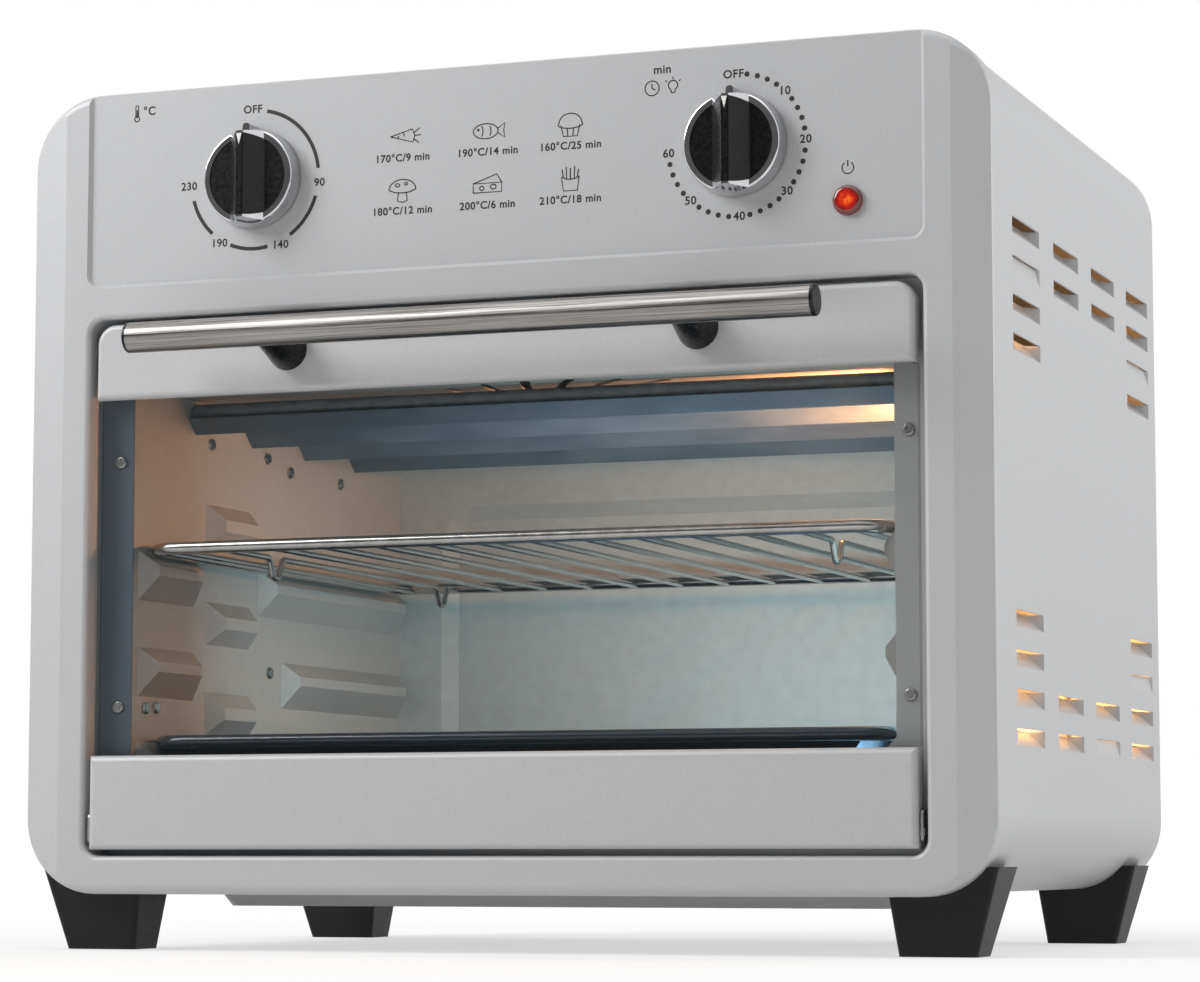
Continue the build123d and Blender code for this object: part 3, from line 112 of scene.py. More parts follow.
def vary_color(material, shader, field, low, high, low_at=NOISE_LOW, high_at=NOISE_HIGH):
    """Spreads the base colour between two hex colours by a field."""
    spread = add_node(material, "ShaderNodeMapRange", {"Value": field, "From Min": low_at,
                                                       "From Max": high_at})
    mix = add_node(material, "ShaderNodeMix", data_type="RGBA")
    material.node_tree.links.new(spread.outputs["Result"], mix.inputs["Factor"])
    ends = {"A": linear(low), "B": linear(high)}
    for socket in mix.inputs:
        if socket.type == "RGBA" and socket.name in ends:
            socket.default_value = ends[socket.name]
    result = [socket for socket in mix.outputs if socket.type == "RGBA"][0]
    material.node_tree.links.new(result, shader.inputs["Base Color"])


def add_bump(material, shader, field, depth_mm, strength):
    """Raises the surface by up to depth_mm where the field is high."""
    bump = add_node(material, "ShaderNodeBump", {"Height": field, "Distance": depth_mm * MM,
                                                 "Strength": strength})
    material.node_tree.links.new(bump.outputs["Normal"], shader.inputs["Normal"])


def dress(material, *names):
    """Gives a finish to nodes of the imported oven."""
    for name in names:
        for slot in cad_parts[name].material_slots:
            slot.material = material
    print(material.name, "on", len(names), "packed pieces")


# %% [markdown]
# ## Silver baking enamel on the sheet steel
# The cabinet, the frame and both door rails are pressed steel under a silver-grey stoving enamel. Fine
# aluminium flakes in the paint give it a satin metal sheen, so one value is not enough: it is partly
# metallic, with a grain of about 0.5 mm that moves the roughness a little. Real flakes are finer than
# a pixel, so they are drawn coarser than they are.

# %% Silver paint
silver_paint, silver_shader = start_finish("silver_stoving_enamel", "#BBBCBE", metallic=0.15, roughness=0.48,
                                           Coat_Weight=0.1, Coat_Roughness=0.3)
paint_grain = noise_field(silver_paint, size_mm=0.5, detail=1.0)
vary_roughness(silver_paint, silver_shader, paint_grain, low=0.44, high=0.54)
paint_clouds = noise_field(silver_paint, size_mm=0.7, detail=1.0)
vary_color(silver_paint, silver_shader, paint_clouds, "#B8B9BB", "#BEBFC1")
add_bump(silver_paint, silver_shader, paint_grain, depth_mm=0.01, strength=0.06)
dress(silver_paint, "front_frame", "cabinet_top", "cabinet_left_side", "cabinet_right_side",
      "cabinet_bottom_strips", "base_plate", "back_cover", "door_bottom_rail", "door_top_rail")

# %% [markdown]
# ## Black plastics
# The feet are moulded in a matt polyamide with a spark-eroded grain, the handle posts, knob grips and
# end caps in a smoother, glossier phenolic that stands the heat.

# %% Black mouldings
foot_plastic, foot_shader = start_finish("moulded_black_polyamide", "#0C0D0E", metallic=0.0, roughness=0.5,
                                         Specular_IOR_Level=0.3)
foot_grain = noise_field(foot_plastic, size_mm=0.9)
vary_roughness(foot_plastic, foot_shader, foot_grain, low=0.4, high=0.58)
vary_color(foot_plastic, foot_shader, foot_grain, "#0A0A0B", "#101112")
add_bump(foot_plastic, foot_shader, foot_grain, depth_mm=0.04, strength=0.35)
dress(foot_plastic, "foot_front_left", "foot_front_right", "foot_rear_left", "foot_rear_right")

phenolic, phenolic_shader = start_finish("moulded_black_phenolic", "#050506", metallic=0.0, roughness=0.3,
                                         Specular_IOR_Level=0.35)
phenolic_grain = noise_field(phenolic, size_mm=1.6)
vary_roughness(phenolic, phenolic_shader, phenolic_grain, low=0.22, high=0.34)
vary_color(phenolic, phenolic_shader, phenolic_grain, "#040405", "#070708")
add_bump(phenolic, phenolic_shader, noise_field(phenolic, size_mm=0.5), depth_mm=0.006, strength=0.08)
dress(phenolic, "handle_post_left", "handle_post_right", "handle_end_caps", "temperature_knob_grip",
      "timer_knob_grip", "cord_gland")

# %% [markdown]
# ## Brushed and plated metals
# The handle is a stainless tube brushed along its length, so its grain is drawn out along X and its
# highlight spreads across the bar. The knob rings and the rack are bright chrome plate, whose slow waves
# keep its reflections from looking drawn with a ruler.

# %% The brushed handle
brushed_steel, brushed_shader = start_finish("brushed_stainless_steel", "#8F8C89", metallic=1.0,
                                             roughness=0.3, Anisotropic=0.6)
brush_lines = noise_field(brushed_steel, size_mm=0.55, stretch=(0.012, 1, 1), detail=4.0)
vary_roughness(brushed_steel, brushed_shader, brush_lines, low=0.2, high=0.42)
vary_color(brushed_steel, brushed_shader, brush_lines, "#73706D", "#A9A6A3")
add_bump(brushed_steel, brushed_shader, brush_lines, depth_mm=0.03, strength=0.3)
dress(brushed_steel, "handle_bar")

# %% Chrome on the knob rings and on the rack
bright_chrome, chrome_shader = start_finish("bright_chrome_plate", "#CFD0D3", metallic=1.0, roughness=0.09)
chrome_waves = noise_field(bright_chrome, size_mm=9.0)
vary_roughness(bright_chrome, chrome_shader, chrome_waves, low=0.06, high=0.13)
vary_color(bright_chrome, chrome_shader, chrome_waves, "#C8C9CC", "#D8D9DB")
dress(bright_chrome, "temperature_knob_skirt", "timer_knob_skirt")

rack_plate, rack_shader = start_finish("chrome_plated_wire", "#C9C8C6", metallic=1.0, roughness=0.16)
rack_waves = noise_field(rack_plate, size_mm=6.0)
vary_roughness(rack_plate, rack_shader, rack_waves, low=0.12, high=0.22)
vary_color(rack_plate, rack_shader, rack_waves, "#BEBCBA", "#D3D2D0")
dress(rack_plate, "wire_rack")

# %% [markdown]
# ## Steel round the cooking space
# The cavity is aluminised steel, which has a soft spangle and is duller than plain metal, so it is only
# partly metallic. Heat has blued the heater guards. The flange round the opening carries painted shade:
# its colour runs along X, from a shaded blue-grey at the left to a pale, lit grey at the right.

# %% The aluminised cavity
aluminised, aluminised_shader = start_finish("aluminised_steel", "#B2B3B0", metallic=0.4, roughness=0.42)
spangle = noise_field(aluminised, size_mm=5.0, detail=4.0)
vary_roughness(aluminised, aluminised_shader, spangle, low=0.36, high=0.5)
vary_color(aluminised, aluminised_shader, spangle, "#B0B1AE", "#B9BAB7")
add_bump(aluminised, aluminised_shader, noise_field(aluminised, size_mm=1.2), depth_mm=0.02, strength=0.2)
dress(aluminised, "cavity_left_wall", "cavity_right_wall", "cavity_ceiling", "cavity_floor",
      "cavity_back_wall")

# %% The heater guards
blued_steel, blued_shader = start_finish("heat_blued_steel", "#616B74", metallic=0.3, roughness=0.5)
blue_clouds = noise_field(blued_steel, size_mm=14.0, stretch=(0.4, 1, 1))
vary_roughness(blued_steel, blued_shader, blue_clouds, low=0.46, high=0.58)
vary_color(blued_steel, blued_shader, blue_clouds, "#515C67", "#646E77")
dress(blued_steel, *[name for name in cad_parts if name.startswith("heater_guard")])

# %% The flange, with painted shade from blue-grey at the left to pale at the right
# Painted shade: the flange's left part is darkened as if in shadow, and its right part is left pale as if lit.
SHADED_UP_TO_X, LIT_FROM_X = -0.1, 0.14
flange_steel, flange_shader = start_finish("flange_painted_shade", "#5E6973", metallic=0.3, roughness=0.45)
flange_place = add_node(flange_steel, "ShaderNodeTexCoord")
flange_across = add_node(flange_steel, "ShaderNodeSeparateXYZ", {"Vector": flange_place.outputs["Object"]})
vary_color(flange_steel, flange_shader, flange_across.outputs["X"], "#6A7682", "#BEBFC0",
           low_at=SHADED_UP_TO_X, high_at=LIT_FROM_X)
vary_roughness(flange_steel, flange_shader, noise_field(flange_steel, size_mm=10.0), low=0.4, high=0.52)
dress(flange_steel, "cavity_flange")

# %% [markdown]
# ## Hidden metals
# The fan box and the brackets are zinc-coated sheet with a visible spangle, and the screws are bright zinc
# plate. The heaters have a sheath that has oxidised to a dull grey. The impeller is pressed aluminium, and
# the motor is a pack of varnished iron plates, so its pattern is drawn out across and fine along Z.

# %% Zinc on sheet and on screws
zinc_sheet, zinc_shader = start_finish("galvanised_sheet", "#989A9B", metallic=0.9, roughness=0.4)
zinc_spangle = noise_field(zinc_sheet, size_mm=8.0, detail=5.0)
vary_roughness(zinc_sheet, zinc_shader, zinc_spangle, low=0.32, high=0.5)
vary_color(zinc_sheet, zinc_shader, zinc_spangle, "#858789", "#AAACAD")
dress(zinc_sheet, "fan_shroud", "motor_bracket", "oven_lamp_holder", "hinge_brackets")

zinc_plate, plate_shader = start_finish("zinc_plated_screws", "#B4B4B2", metallic=1.0, roughness=0.28)
plate_marks = noise_field(zinc_plate, size_mm=1.0)
vary_roughness(zinc_plate, plate_shader, plate_marks, low=0.22, high=0.36)
vary_color(zinc_plate, plate_shader, plate_marks, "#A6A6A4", "#C0C0BE")
dress(zinc_plate, "foot_screws", "cover_screws", "cavity_rivets", "handle_screws", "hinge_pins",
      "temperature_shaft", "timer_shaft")

# %% Heaters, fan and motor
heater_sheath, sheath_shader = start_finish("oxidised_heater_sheath", "#727980", metallic=0.3, roughness=0.5)
sheath_clouds = noise_field(heater_sheath, size_mm=4.0)
vary_roughness(heater_sheath, sheath_shader, sheath_clouds, low=0.42, high=0.6)
vary_color(heater_sheath, sheath_shader, sheath_clouds, "#666D74", "#7D8287")
dress(heater_sheath, "upper_heaters", "lower_heaters")

fan_sheet, fan_shader = start_finish("pressed_aluminium", "#BDBEBF", metallic=1.0, roughness=0.36)
fan_marks = noise_field(fan_sheet, size_mm=3.0)
vary_roughness(fan_sheet, fan_shader, fan_marks, low=0.3, high=0.44)
vary_color(fan_sheet, fan_shader, fan_marks, "#AFB0B1", "#C9CACB")
dress(fan_sheet, "fan_impeller")

motor_iron, iron_shader = start_finish("varnished_motor_core", "#3A3B3E", metallic=0.5, roughness=0.45)
plate_edges = noise_field(motor_iron, size_mm=0.6, stretch=(0.05, 0.05, 1))
vary_roughness(motor_iron, iron_shader, plate_edges, low=0.35, high=0.6)
vary_color(motor_iron, iron_shader, plate_edges, "#2A2B2D", "#4C4D50")
add_bump(motor_iron, iron_shader, plate_edges, depth_mm=0.1, strength=0.5)
dress(motor_iron, "fan_motor")

# %% [markdown]
# ## Enamel, ceramic, glass and lamps
# The tray is steel under a dark vitreous enamel, which is glass-smooth but never quite flat. The heater
# rings are unglazed steatite, and the controls are moulded in pale nylon. The door pane is thin
# clear glass: seen straight on it takes away a little light, and at its rim it turns darker.

# %% Enamel, ceramic and control plastics
tray_enamel, enamel_shader = start_finish("dark_vitreous_enamel", "#2B3846", metallic=0.0, roughness=0.16,
                                          Coat_Weight=0.7, Coat_Roughness=0.06)
enamel_peel = noise_field(tray_enamel, size_mm=3.0)
vary_roughness(tray_enamel, enamel_shader, enamel_peel, low=0.12, high=0.22)
vary_color(tray_enamel, enamel_shader, noise_field(tray_enamel, size_mm=0.8), "#26323F", "#33414F")
add_bump(tray_enamel, enamel_shader, enamel_peel, depth_mm=0.05, strength=0.25)
dress(tray_enamel, "baking_tray")

steatite, steatite_shader = start_finish("unglazed_steatite", "#DCD7CB", metallic=0.0, roughness=0.75)
steatite_grain = noise_field(steatite, size_mm=0.8)
vary_color(steatite, steatite_shader, steatite_grain, "#CFC9BB", "#E6E2D8")
add_bump(steatite, steatite_shader, steatite_grain, depth_mm=0.05, strength=0.4)
dress(steatite, "heater_insulators")

pale_nylon, nylon_shader = start_finish("moulded_pale_nylon", "#D8D5CC", metallic=0.0, roughness=0.5,
                                        Subsurface_Weight=0.05)
nylon_grain = noise_field(pale_nylon, size_mm=1.2)
vary_roughness(pale_nylon, nylon_shader, nylon_grain, low=0.42, high=0.58)
vary_color(pale_nylon, nylon_shader, nylon_grain, "#D0CDC3", "#DFDCD4")
dress(pale_nylon, "thermostat_body", "timer_body", "power_lamp_body", "terminal_block")

# %% The door pane
PANE_STRAIGHT_ALPHA, PANE_RIM_ALPHA = 0.07, 0.6
pane_glass, pane_shader = start_finish("clear_float_glass", "#3C474B", metallic=0.0, roughness=0.03,
                                       Specular_IOR_Level=0.5)
pane_edge = add_node(pane_glass, "ShaderNodeLayerWeight", {"Blend": 0.35})
pane_alpha = add_node(pane_glass, "ShaderNodeMapRange", {"Value": pane_edge.outputs["Facing"],
                                                         "To Min": PANE_STRAIGHT_ALPHA,
                                                         "To Max": PANE_RIM_ALPHA})
pane_glass.node_tree.links.new(pane_alpha.outputs["Result"], pane_shader.inputs["Alpha"])
dress(pane_glass, "door_glass")

# %% The oven lamp and its cover
lamp_glass = start_finish("clear_lamp_glass", "#FFE9C4", metallic=0.0, roughness=0.08,
                          Transmission_Weight=0.4, Alpha=0.35)[0]
dress(lamp_glass, "oven_lamp_cover")

hot_bulb, bulb_shader = start_finish("lit_frosted_bulb", "#FFE2B0", metallic=0.0, roughness=0.4,
                                     Emission_Strength=6.0)
bulb_shader.inputs["Emission Color"].default_value = linear("#FFC26B")
dress(hot_bulb, "oven_lamp_bulb")

# %% [markdown]
# ## The red power lamp
# A neon lamp glows behind a red lens. The glow is strongest at the middle and swirls in the moulded
# facets, so the emission follows the distance from the lens's centre, with a noise that breaks it up.

# %% How far a point of the lens is from its centre
GLOW_REACH = 5.2 * MM
lens_low, lens_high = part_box("power_lamp_lens")
lens_centre = (lens_low + lens_high) / 2
lens_red, lens_shader = start_finish("red_acrylic_lens", "#5E0A04", metallic=0.0, roughness=0.12,
                                     Coat_Weight=1.0, Coat_Roughness=0.04)
lens_place = add_node(lens_red, "ShaderNodeTexCoord")
lens_shift = add_node(lens_red, "ShaderNodeMapping", {"Vector": lens_place.outputs["Object"],
                                                      "Location": [-value for value in lens_centre]})
lens_distance = add_node(lens_red, "ShaderNodeVectorMath", {0: lens_shift.outputs["Vector"]},
                         operation="LENGTH")
glow_fade = add_node(lens_red, "ShaderNodeMapRange", {"Value": lens_distance.outputs["Value"],
                                                      "From Min": 0.0, "From Max": GLOW_REACH,
                                                      "To Min": 1.0, "To Max": 0.0})
print("lens centre in mm", [round(value / MM, 1) for value in lens_centre])

# %% The glow, from a dark rim to a yellow middle
RIM_STOP, MIDDLE_STOPS, CENTRE_STOP = 0.04, (0.2, 0.34), 0.46
GLOW_COLORS = ("#2C0201", "#B81406", "#F25218", "#FFC44A")
lens_swirl = noise_field(lens_red, size_mm=2.4, detail=2.0)
glow = add_node(lens_red, "ShaderNodeMath", {0: glow_fade.outputs["Result"], 1: lens_swirl},
                operation="MULTIPLY")
glow_color = add_node(lens_red, "ShaderNodeValToRGB", {"Fac": glow.outputs["Value"]})
glow_stops = glow_color.color_ramp.elements
glow_stops[0].position = RIM_STOP
glow_stops[1].position = CENTRE_STOP
for position in MIDDLE_STOPS:
    glow_stops.new(position)
for stop, color in zip(glow_stops, GLOW_COLORS):
    stop.color = linear(color)
lens_red.node_tree.links.new(glow_color.outputs["Color"], lens_shader.inputs["Emission Color"])
lens_shader.inputs["Emission Strength"].default_value = 0.9
dress(lens_red, "power_lamp_lens")

# %% [markdown]
# ## The printing on the panel
# The dials are screen printed in black. A print has almost no thickness, but it is still modelled as
# thin solid ink, 0.05 mm thick, because the mesh has to carry it. Arcs are spun from one short edge about
# the dial's centre, and a dot is a small disc that is placed again and again round the timer.

# %% Ink
ink, ink_shader = start_finish("black_screen_ink", "#19191B", metallic=0.0, roughness=0.55)
ink_grain = noise_field(ink, size_mm=0.6)
vary_roughness(ink, ink_shader, ink_grain, low=0.48, high=0.65)
vary_color(ink, ink_shader, ink_grain, "#141416", "#212123")
white_ink, white_ink_shader = start_finish("white_screen_ink", "#E9E9E6", metallic=0.0, roughness=0.5)
vary_color(white_ink, white_ink_shader, noise_field(white_ink, size_mm=0.6), "#E2E2DF", "#F0F0EE")
INK_THICKNESS = 0.05 * MM
PANEL_RECESS = 1.5 * MM
panel_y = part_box("front_frame")[0].y + PANEL_RECESS
ink_y = panel_y - INK_THICKNESS / 2
print("panel face at y", round(panel_y / MM, 2), "mm")


# %% Helpers that select, join and finish a piece
def deselect():
    """Leaves edit mode and deselects everything."""
    if bpy.context.object and bpy.context.object.mode != "OBJECT":
        bpy.ops.object.mode_set(mode="OBJECT")
    bpy.ops.object.select_all(action="DESELECT")


def pick(piece):
    """Selects one piece and nothing else."""
    deselect()
    piece.select_set(True)
    bpy.context.view_layer.objects.active = piece


def settle(piece, name, material, body):
    """Names a piece, applies its place to its mesh, gives it its finish and lets it ride on a body."""
    pick(piece)
    bpy.ops.object.transform_apply(location=True, rotation=True, scale=True)
    piece.name = name
    piece.data.name = name
    piece.data.materials.clear()
    piece.data.materials.append(material)
    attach(piece, body)
    print(name, "has", len(piece.data.polygons), "faces and rides on", body)
    return piece


def join(pieces):
    """Joins pieces into the first one."""
    deselect()
    for piece in pieces:
        piece.select_set(True)
    bpy.context.view_layer.objects.active = pieces[0]
    if len(pieces) > 1:
        bpy.ops.object.join()
    return pieces[0]


# %% Helpers that print an arc, a dot or words
ARC_STEP_DEGREES = 4
ARC_LEAST_STEPS = 4
DOT_SIDES = 20
CAPITAL_SHARE = 0.69
LETTER_SPACING = 1.08
LETTER_SWELL = 0.1 * MM


def thicken_print(piece):
    """Gives a flat print its thickness, half of it to each side."""
    pick(piece)
    ink_wall = piece.modifiers.new("ink", "SOLIDIFY")
    ink_wall.thickness = INK_THICKNESS
    ink_wall.offset = 0.0
    bpy.ops.object.modifier_apply(modifier="ink")


def spun_arc(centre, radius, width, start_degrees, end_degrees):
    """A flat printed arc on the panel. Angles run clockwise from the top, as on a dial."""
    deselect()
    bpy.ops.mesh.primitive_plane_add(size=width, location=(0, 0, 0), rotation=(math.pi / 2, 0, 0))
    arc = bpy.context.object
    bpy.ops.object.transform_apply(location=False, rotation=True, scale=False)
    for face in arc.data.polygons:
        face.select = False
    for edge in arc.data.edges:
        edge.select = False
    for vertex in arc.data.vertices:
        vertex.select = vertex.co.x > 0
    bpy.ops.object.mode_set(mode="EDIT")
    bpy.ops.mesh.delete(type="VERT")
    bpy.ops.object.mode_set(mode="OBJECT")
    turn = math.radians(start_degrees)
    for vertex in arc.data.vertices:
        reach = radius + vertex.co.z
        vertex.co = (reach * math.sin(turn), 0, reach * math.cos(turn))
    bpy.ops.object.mode_set(mode="EDIT")
    bpy.ops.mesh.select_all(action="SELECT")
    steps = max(ARC_LEAST_STEPS, round(abs(end_degrees - start_degrees) / ARC_STEP_DEGREES))
    bpy.ops.mesh.spin(steps=steps, angle=math.radians(start_degrees - end_degrees), center=(0, 0, 0),
                      axis=(0, 1, 0))
    bpy.ops.object.mode_set(mode="OBJECT")
    arc.location = (centre[0], ink_y, centre[1])
    thicken_print(arc)
    print("arc from", start_degrees, "to", end_degrees, "degrees with", len(arc.data.polygons), "faces")
    return arc


def printed_dot(x, z, radius):
    """A flat printed dot on the panel."""
    deselect()
    bpy.ops.mesh.primitive_circle_add(vertices=DOT_SIDES, radius=radius, fill_type="NGON",
                                      location=(x, ink_y, z), rotation=(math.pi / 2, 0, 0))
    dot = bpy.context.object
    thicken_print(dot)
    return dot


def printed_words(words, x, z, height):
    """Plain figures printed on the panel, height being that of a capital."""
    deselect()
    bpy.ops.object.text_add(location=(x, ink_y, z), rotation=(math.pi / 2, 0, 0))
    text = bpy.context.object
    text.data.body = words
    text.data.size = height / CAPITAL_SHARE
    text.data.align_x = "CENTER"
    text.data.align_y = "CENTER"
    text.data.space_character = LETTER_SPACING
    text.data.offset = LETTER_SWELL
    text.data.resolution_u = 4
    text.data.extrude = INK_THICKNESS / 2
    bpy.ops.object.convert(target="MESH")
    return bpy.context.object


def dial_point(centre, radius, degrees_clockwise):
    """A point on the panel at an angle clockwise from the top of a dial."""
    turn = math.radians(degrees_clockwise)
    return centre[0] + radius * math.sin(turn), centre[1] + radius * math.cos(turn)


def knob_centre(name):
    """The middle of a knob on the panel, as x and z."""
    low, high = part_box(name)
    middle = (low + high) / 2
    return middle.x, middle.z


# %% The temperature dial
ARC_RADIUS = 27.8 * MM
ARC_WIDTH = 1.5 * MM
LABEL_HEIGHT = 3.1 * MM
OFF_SHIFT = 1.2 * MM
SHORT_OUT, LONG_OUT = 0.6 * MM, 1.4 * MM
temperature_arcs = [(10.5, 84), (107, 146), (168, 202.5), (222, 255.5)]
temperature_marks = [("90", 96, SHORT_OUT), ("140", 157, LONG_OUT), ("190", 212, LONG_OUT),
                     ("230", 268, LONG_OUT)]
temperature_centre = knob_centre("temperature_knob_grip")
temperature_print = [spun_arc(temperature_centre, ARC_RADIUS, ARC_WIDTH, start, end)
                     for start, end in temperature_arcs]
x, z = dial_point(temperature_centre, ARC_RADIUS + SHORT_OUT, 0)
temperature_print.append(printed_words("OFF", x - OFF_SHIFT, z, LABEL_HEIGHT))
for words, degrees, out in temperature_marks:
    x, z = dial_point(temperature_centre, ARC_RADIUS + out, degrees)
    temperature_print.append(printed_words(words, x, z, LABEL_HEIGHT))
settle(join(temperature_print), "temperature_dial_print", ink, OVEN)

# %% The timer dial
TIMER_SPAN = 267.0
RING_RADIUS = 27.4 * MM
DOT_RADIUS = 1.05 * MM
STEPS_PER_LABEL = 5
timer_marks = ["OFF", "10", "20", "30", "40", "50", "60"]
label_gaps = len(timer_marks) - 1
timer_centre = knob_centre("timer_knob_grip")
timer_print = []
for index, words in enumerate(timer_marks):
    degrees = TIMER_SPAN * index / label_gaps
    x, z = dial_point(timer_centre, RING_RADIUS, degrees)
    shift = OFF_SHIFT if words == "OFF" else 0.0
    timer_print.append(printed_words(words, x - shift, z, LABEL_HEIGHT))
    if index == label_gaps:
        continue
    for step in range(1, STEPS_PER_LABEL):
        dot_degrees = degrees + TIMER_SPAN * step / (STEPS_PER_LABEL * label_gaps)
        x, z = dial_point(timer_centre, RING_RADIUS, dot_degrees)
        timer_print.append(printed_dot(x, z, DOT_RADIUS))
settle(join(timer_print), "timer_dial_print", ink, OVEN)

# %% [markdown]
# ## Small pictograms between the dials
# The panel carries a short cooking guide. This one is a generic set: six line drawings, each with a
# plain temperature and number of minutes under it. Each drawing is a list of strokes in millimetres,
# and every stroke becomes a thin round wire that is then pressed flat, as ink is.

# %% Stroke helpers
STROKE_WIDTH = 0.55 * MM


def oval(x, z, wide, high, start=0, end=360, steps=20):
    """Points of an oval or part of one, angles counted from the right, anticlockwise."""
    angles = [math.radians(start + (end - start) * i / steps) for i in range(steps + 1)]
    return [(x + wide * math.cos(a), z + high * math.sin(a)) for a in angles]


def printed_strokes(strokes, x, z, size):
    """Draws strokes, given in millimetres about (0, 0), as flat ink at a place on the panel."""
    deselect()
    bpy.ops.curve.primitive_nurbs_path_add(location=(x, ink_y, z))
    drawing = bpy.context.object
    drawing.data.splines.clear()
    drawing.data.dimensions = "3D"
    for points in strokes:
        spline = drawing.data.splines.new("POLY")
        spline.points.add(len(points) - 1)
        for point, (across, up) in zip(spline.points, points):
            point.co = (size * across * MM, 0, size * up * MM, 1)
    drawing.data.bevel_depth = STROKE_WIDTH / 2
    drawing.data.bevel_resolution = 1
    drawing.data.use_fill_caps = True
    bpy.ops.object.convert(target="MESH")
    drawing = bpy.context.object
    drawing.scale.y = INK_THICKNESS / STROKE_WIDTH
    return drawing


# %% The six drawings
carrot = [[(-4, 0.4), (3.2, 2.4), (4, 0.4), (3.4, -1.6), (-4, 0.4)],
          [(3.7, 1.2), (5.6, 2.6)], [(3.9, 0.3), (6, 0.5)], [(3.6, -0.6), (5.4, -1.9)],
          [(0.2, 1.5), (0.6, 0.2)], [(-1.6, -0.4), (-1.3, 0.6)]]
fish = [oval(-0.6, 0, 4, 2.3), [(3.2, 0.6), (5.6, 2.2), (5.2, 0), (5.6, -2.2), (3.2, -0.6)],
        oval(-3, 0.5, 0.25, 0.25), oval(-2.4, 0, 0.9, 1.8, -60, 60), oval(0.2, 0, 0.9, 1.6, -60, 60)]
cake = [[(-3, 0), (-2.2, -3.4), (2.2, -3.4), (3, 0)],
        oval(0, 0.2, 3.9, 1.2, -200, 20), oval(0, 0.6, 3.6, 2.9, 0, 180),
        [(-1, -0.9), (-0.8, -3.4)], [(1, -0.9), (0.8, -3.4)]]
mushroom = [oval(0, 0.2, 4.4, 3.1, 0, 180), [(-4.4, 0.2), (-2.4, -0.6), (0, -0.8), (2.4, -0.6), (4.4, 0.2)],
            [(-1.3, -0.8), (-1.6, -3.2), (0, -3.7), (1.6, -3.2), (1.3, -0.8)],
            oval(-1.6, 1.6, 0.7, 0.5), oval(1.2, 1.9, 0.5, 0.4)]
cheese = [[(-4.6, -2.4), (4.6, -2.4), (4.6, 0.4), (-4.6, 0.4), (-4.6, -2.4)],
          [(-4.6, 0.4), (3, 3), (4.6, 0.4)], oval(-1.8, -1.1, 0.7, 0.6), oval(1.9, -0.8, 0.9, 0.7)]
fries = [[(-2.8, 0.6), (-2.2, -3.6), (2.2, -3.6), (2.8, 0.6)], oval(0, 1.2, 2.8, 1.4, 200, 340),
         [(-2.2, 0.2), (-2.6, 3)], [(-1.2, -0.1), (-1.3, 3.6)], [(0, -0.2), (0, 3.2)],
         [(1.2, -0.1), (1.4, 3.7)], [(2.2, 0.2), (2.6, 2.8)]]
print("drawings of", [len(drawing) for drawing in (carrot, fish, cake, mushroom, cheese, fries)], "strokes")

# %% The cooking guide
PICTURE_SIZE = 1.3
CAPTION_DROP = 8.2 * MM
CAPTION_HEIGHT = 2.9 * MM
guide_columns = (-37.0 * MM, -1.0 * MM, 33.5 * MM)
guide_rows = (317.6 * MM, 296.6 * MM)
guide = [((carrot, "170°C/9 min"), (fish, "190°C/14 min"), (cake, "160°C/25 min")),
         ((mushroom, "180°C/12 min"), (cheese, "200°C/6 min"), (fries, "210°C/18 min"))]
guide_print = []
for row, z in zip(guide, guide_rows):
    for (strokes, caption), x in zip(row, guide_columns):
        guide_print.append(printed_strokes(strokes, x, z, PICTURE_SIZE))
        guide_print.append(printed_words(caption, x, z - CAPTION_DROP, CAPTION_HEIGHT))
settle(join(guide_print), "cooking_guide_print", ink, OVEN)

# %% [markdown]
# ## Signs over the dials and over the lamp
# Three small groups tell what a control is for: a thermometer with its unit, a clock and a bulb with their
# unit, and the usual sign for power. They are drawn in the same way as the guide.

# %% Draw the signs
thermometer = [oval(0, -1.9, 0.9, 0.9), [(-0.5, -1.1), (-0.5, 2.6), (0.5, 2.6), (0.5, -1.1)],
               [(0, -1.6), (0, 1.2)]]
clock = [oval(0, 0, 2.6, 2.6, steps=28), [(0, 1.6), (0, 0), (1.2, -0.7)]]
bulb = [oval(0, 0.6, 1.7, 1.7, -60, 240), [(-0.8, -0.9), (-0.7, -2)], [(0.8, -0.9), (0.7, -2)],
        [(-0.7, -2), (0.7, -2)], [(0, 2.8), (0, 3.5)], [(2.2, 1.9), (2.8, 2.4)], [(-2.2, 1.9), (-2.8, 2.4)]]
power_sign = [oval(0, 0, 1.9, 1.9, 125, 415), [(0, 2.4), (0, 0.4)]]

THERMOMETER_X, THERMOMETER_Z = -154 * MM, 335.5 * MM
DEGREES_X, DEGREES_Z = -148.4 * MM, 336 * MM
CLOCK_X, BULB_X, CLOCK_Z = 67 * MM, 75.5 * MM, 329.4 * MM
MINUTES_X, MINUTES_Z = 71.2 * MM, 336.4 * MM
POWER_RISE = 12.5 * MM
DEGREES_HEIGHT, MINUTES_HEIGHT = 3.4 * MM, 3.2 * MM
LARGE_SIGN, SMALL_SIGN = 1.2, 1.1
sign_print = [printed_strokes(thermometer, THERMOMETER_X, THERMOMETER_Z, LARGE_SIGN),
              printed_words("°C", DEGREES_X, DEGREES_Z, DEGREES_HEIGHT),
              printed_strokes(clock, CLOCK_X, CLOCK_Z, SMALL_SIGN),
              printed_strokes(bulb, BULB_X, CLOCK_Z, SMALL_SIGN),
              printed_words("min", MINUTES_X, MINUTES_Z, MINUTES_HEIGHT),
              printed_strokes(power_sign, lens_centre.x, lens_centre.z + POWER_RISE, LARGE_SIGN)]
settle(join(sign_print), "panel_signs_print", ink, OVEN)

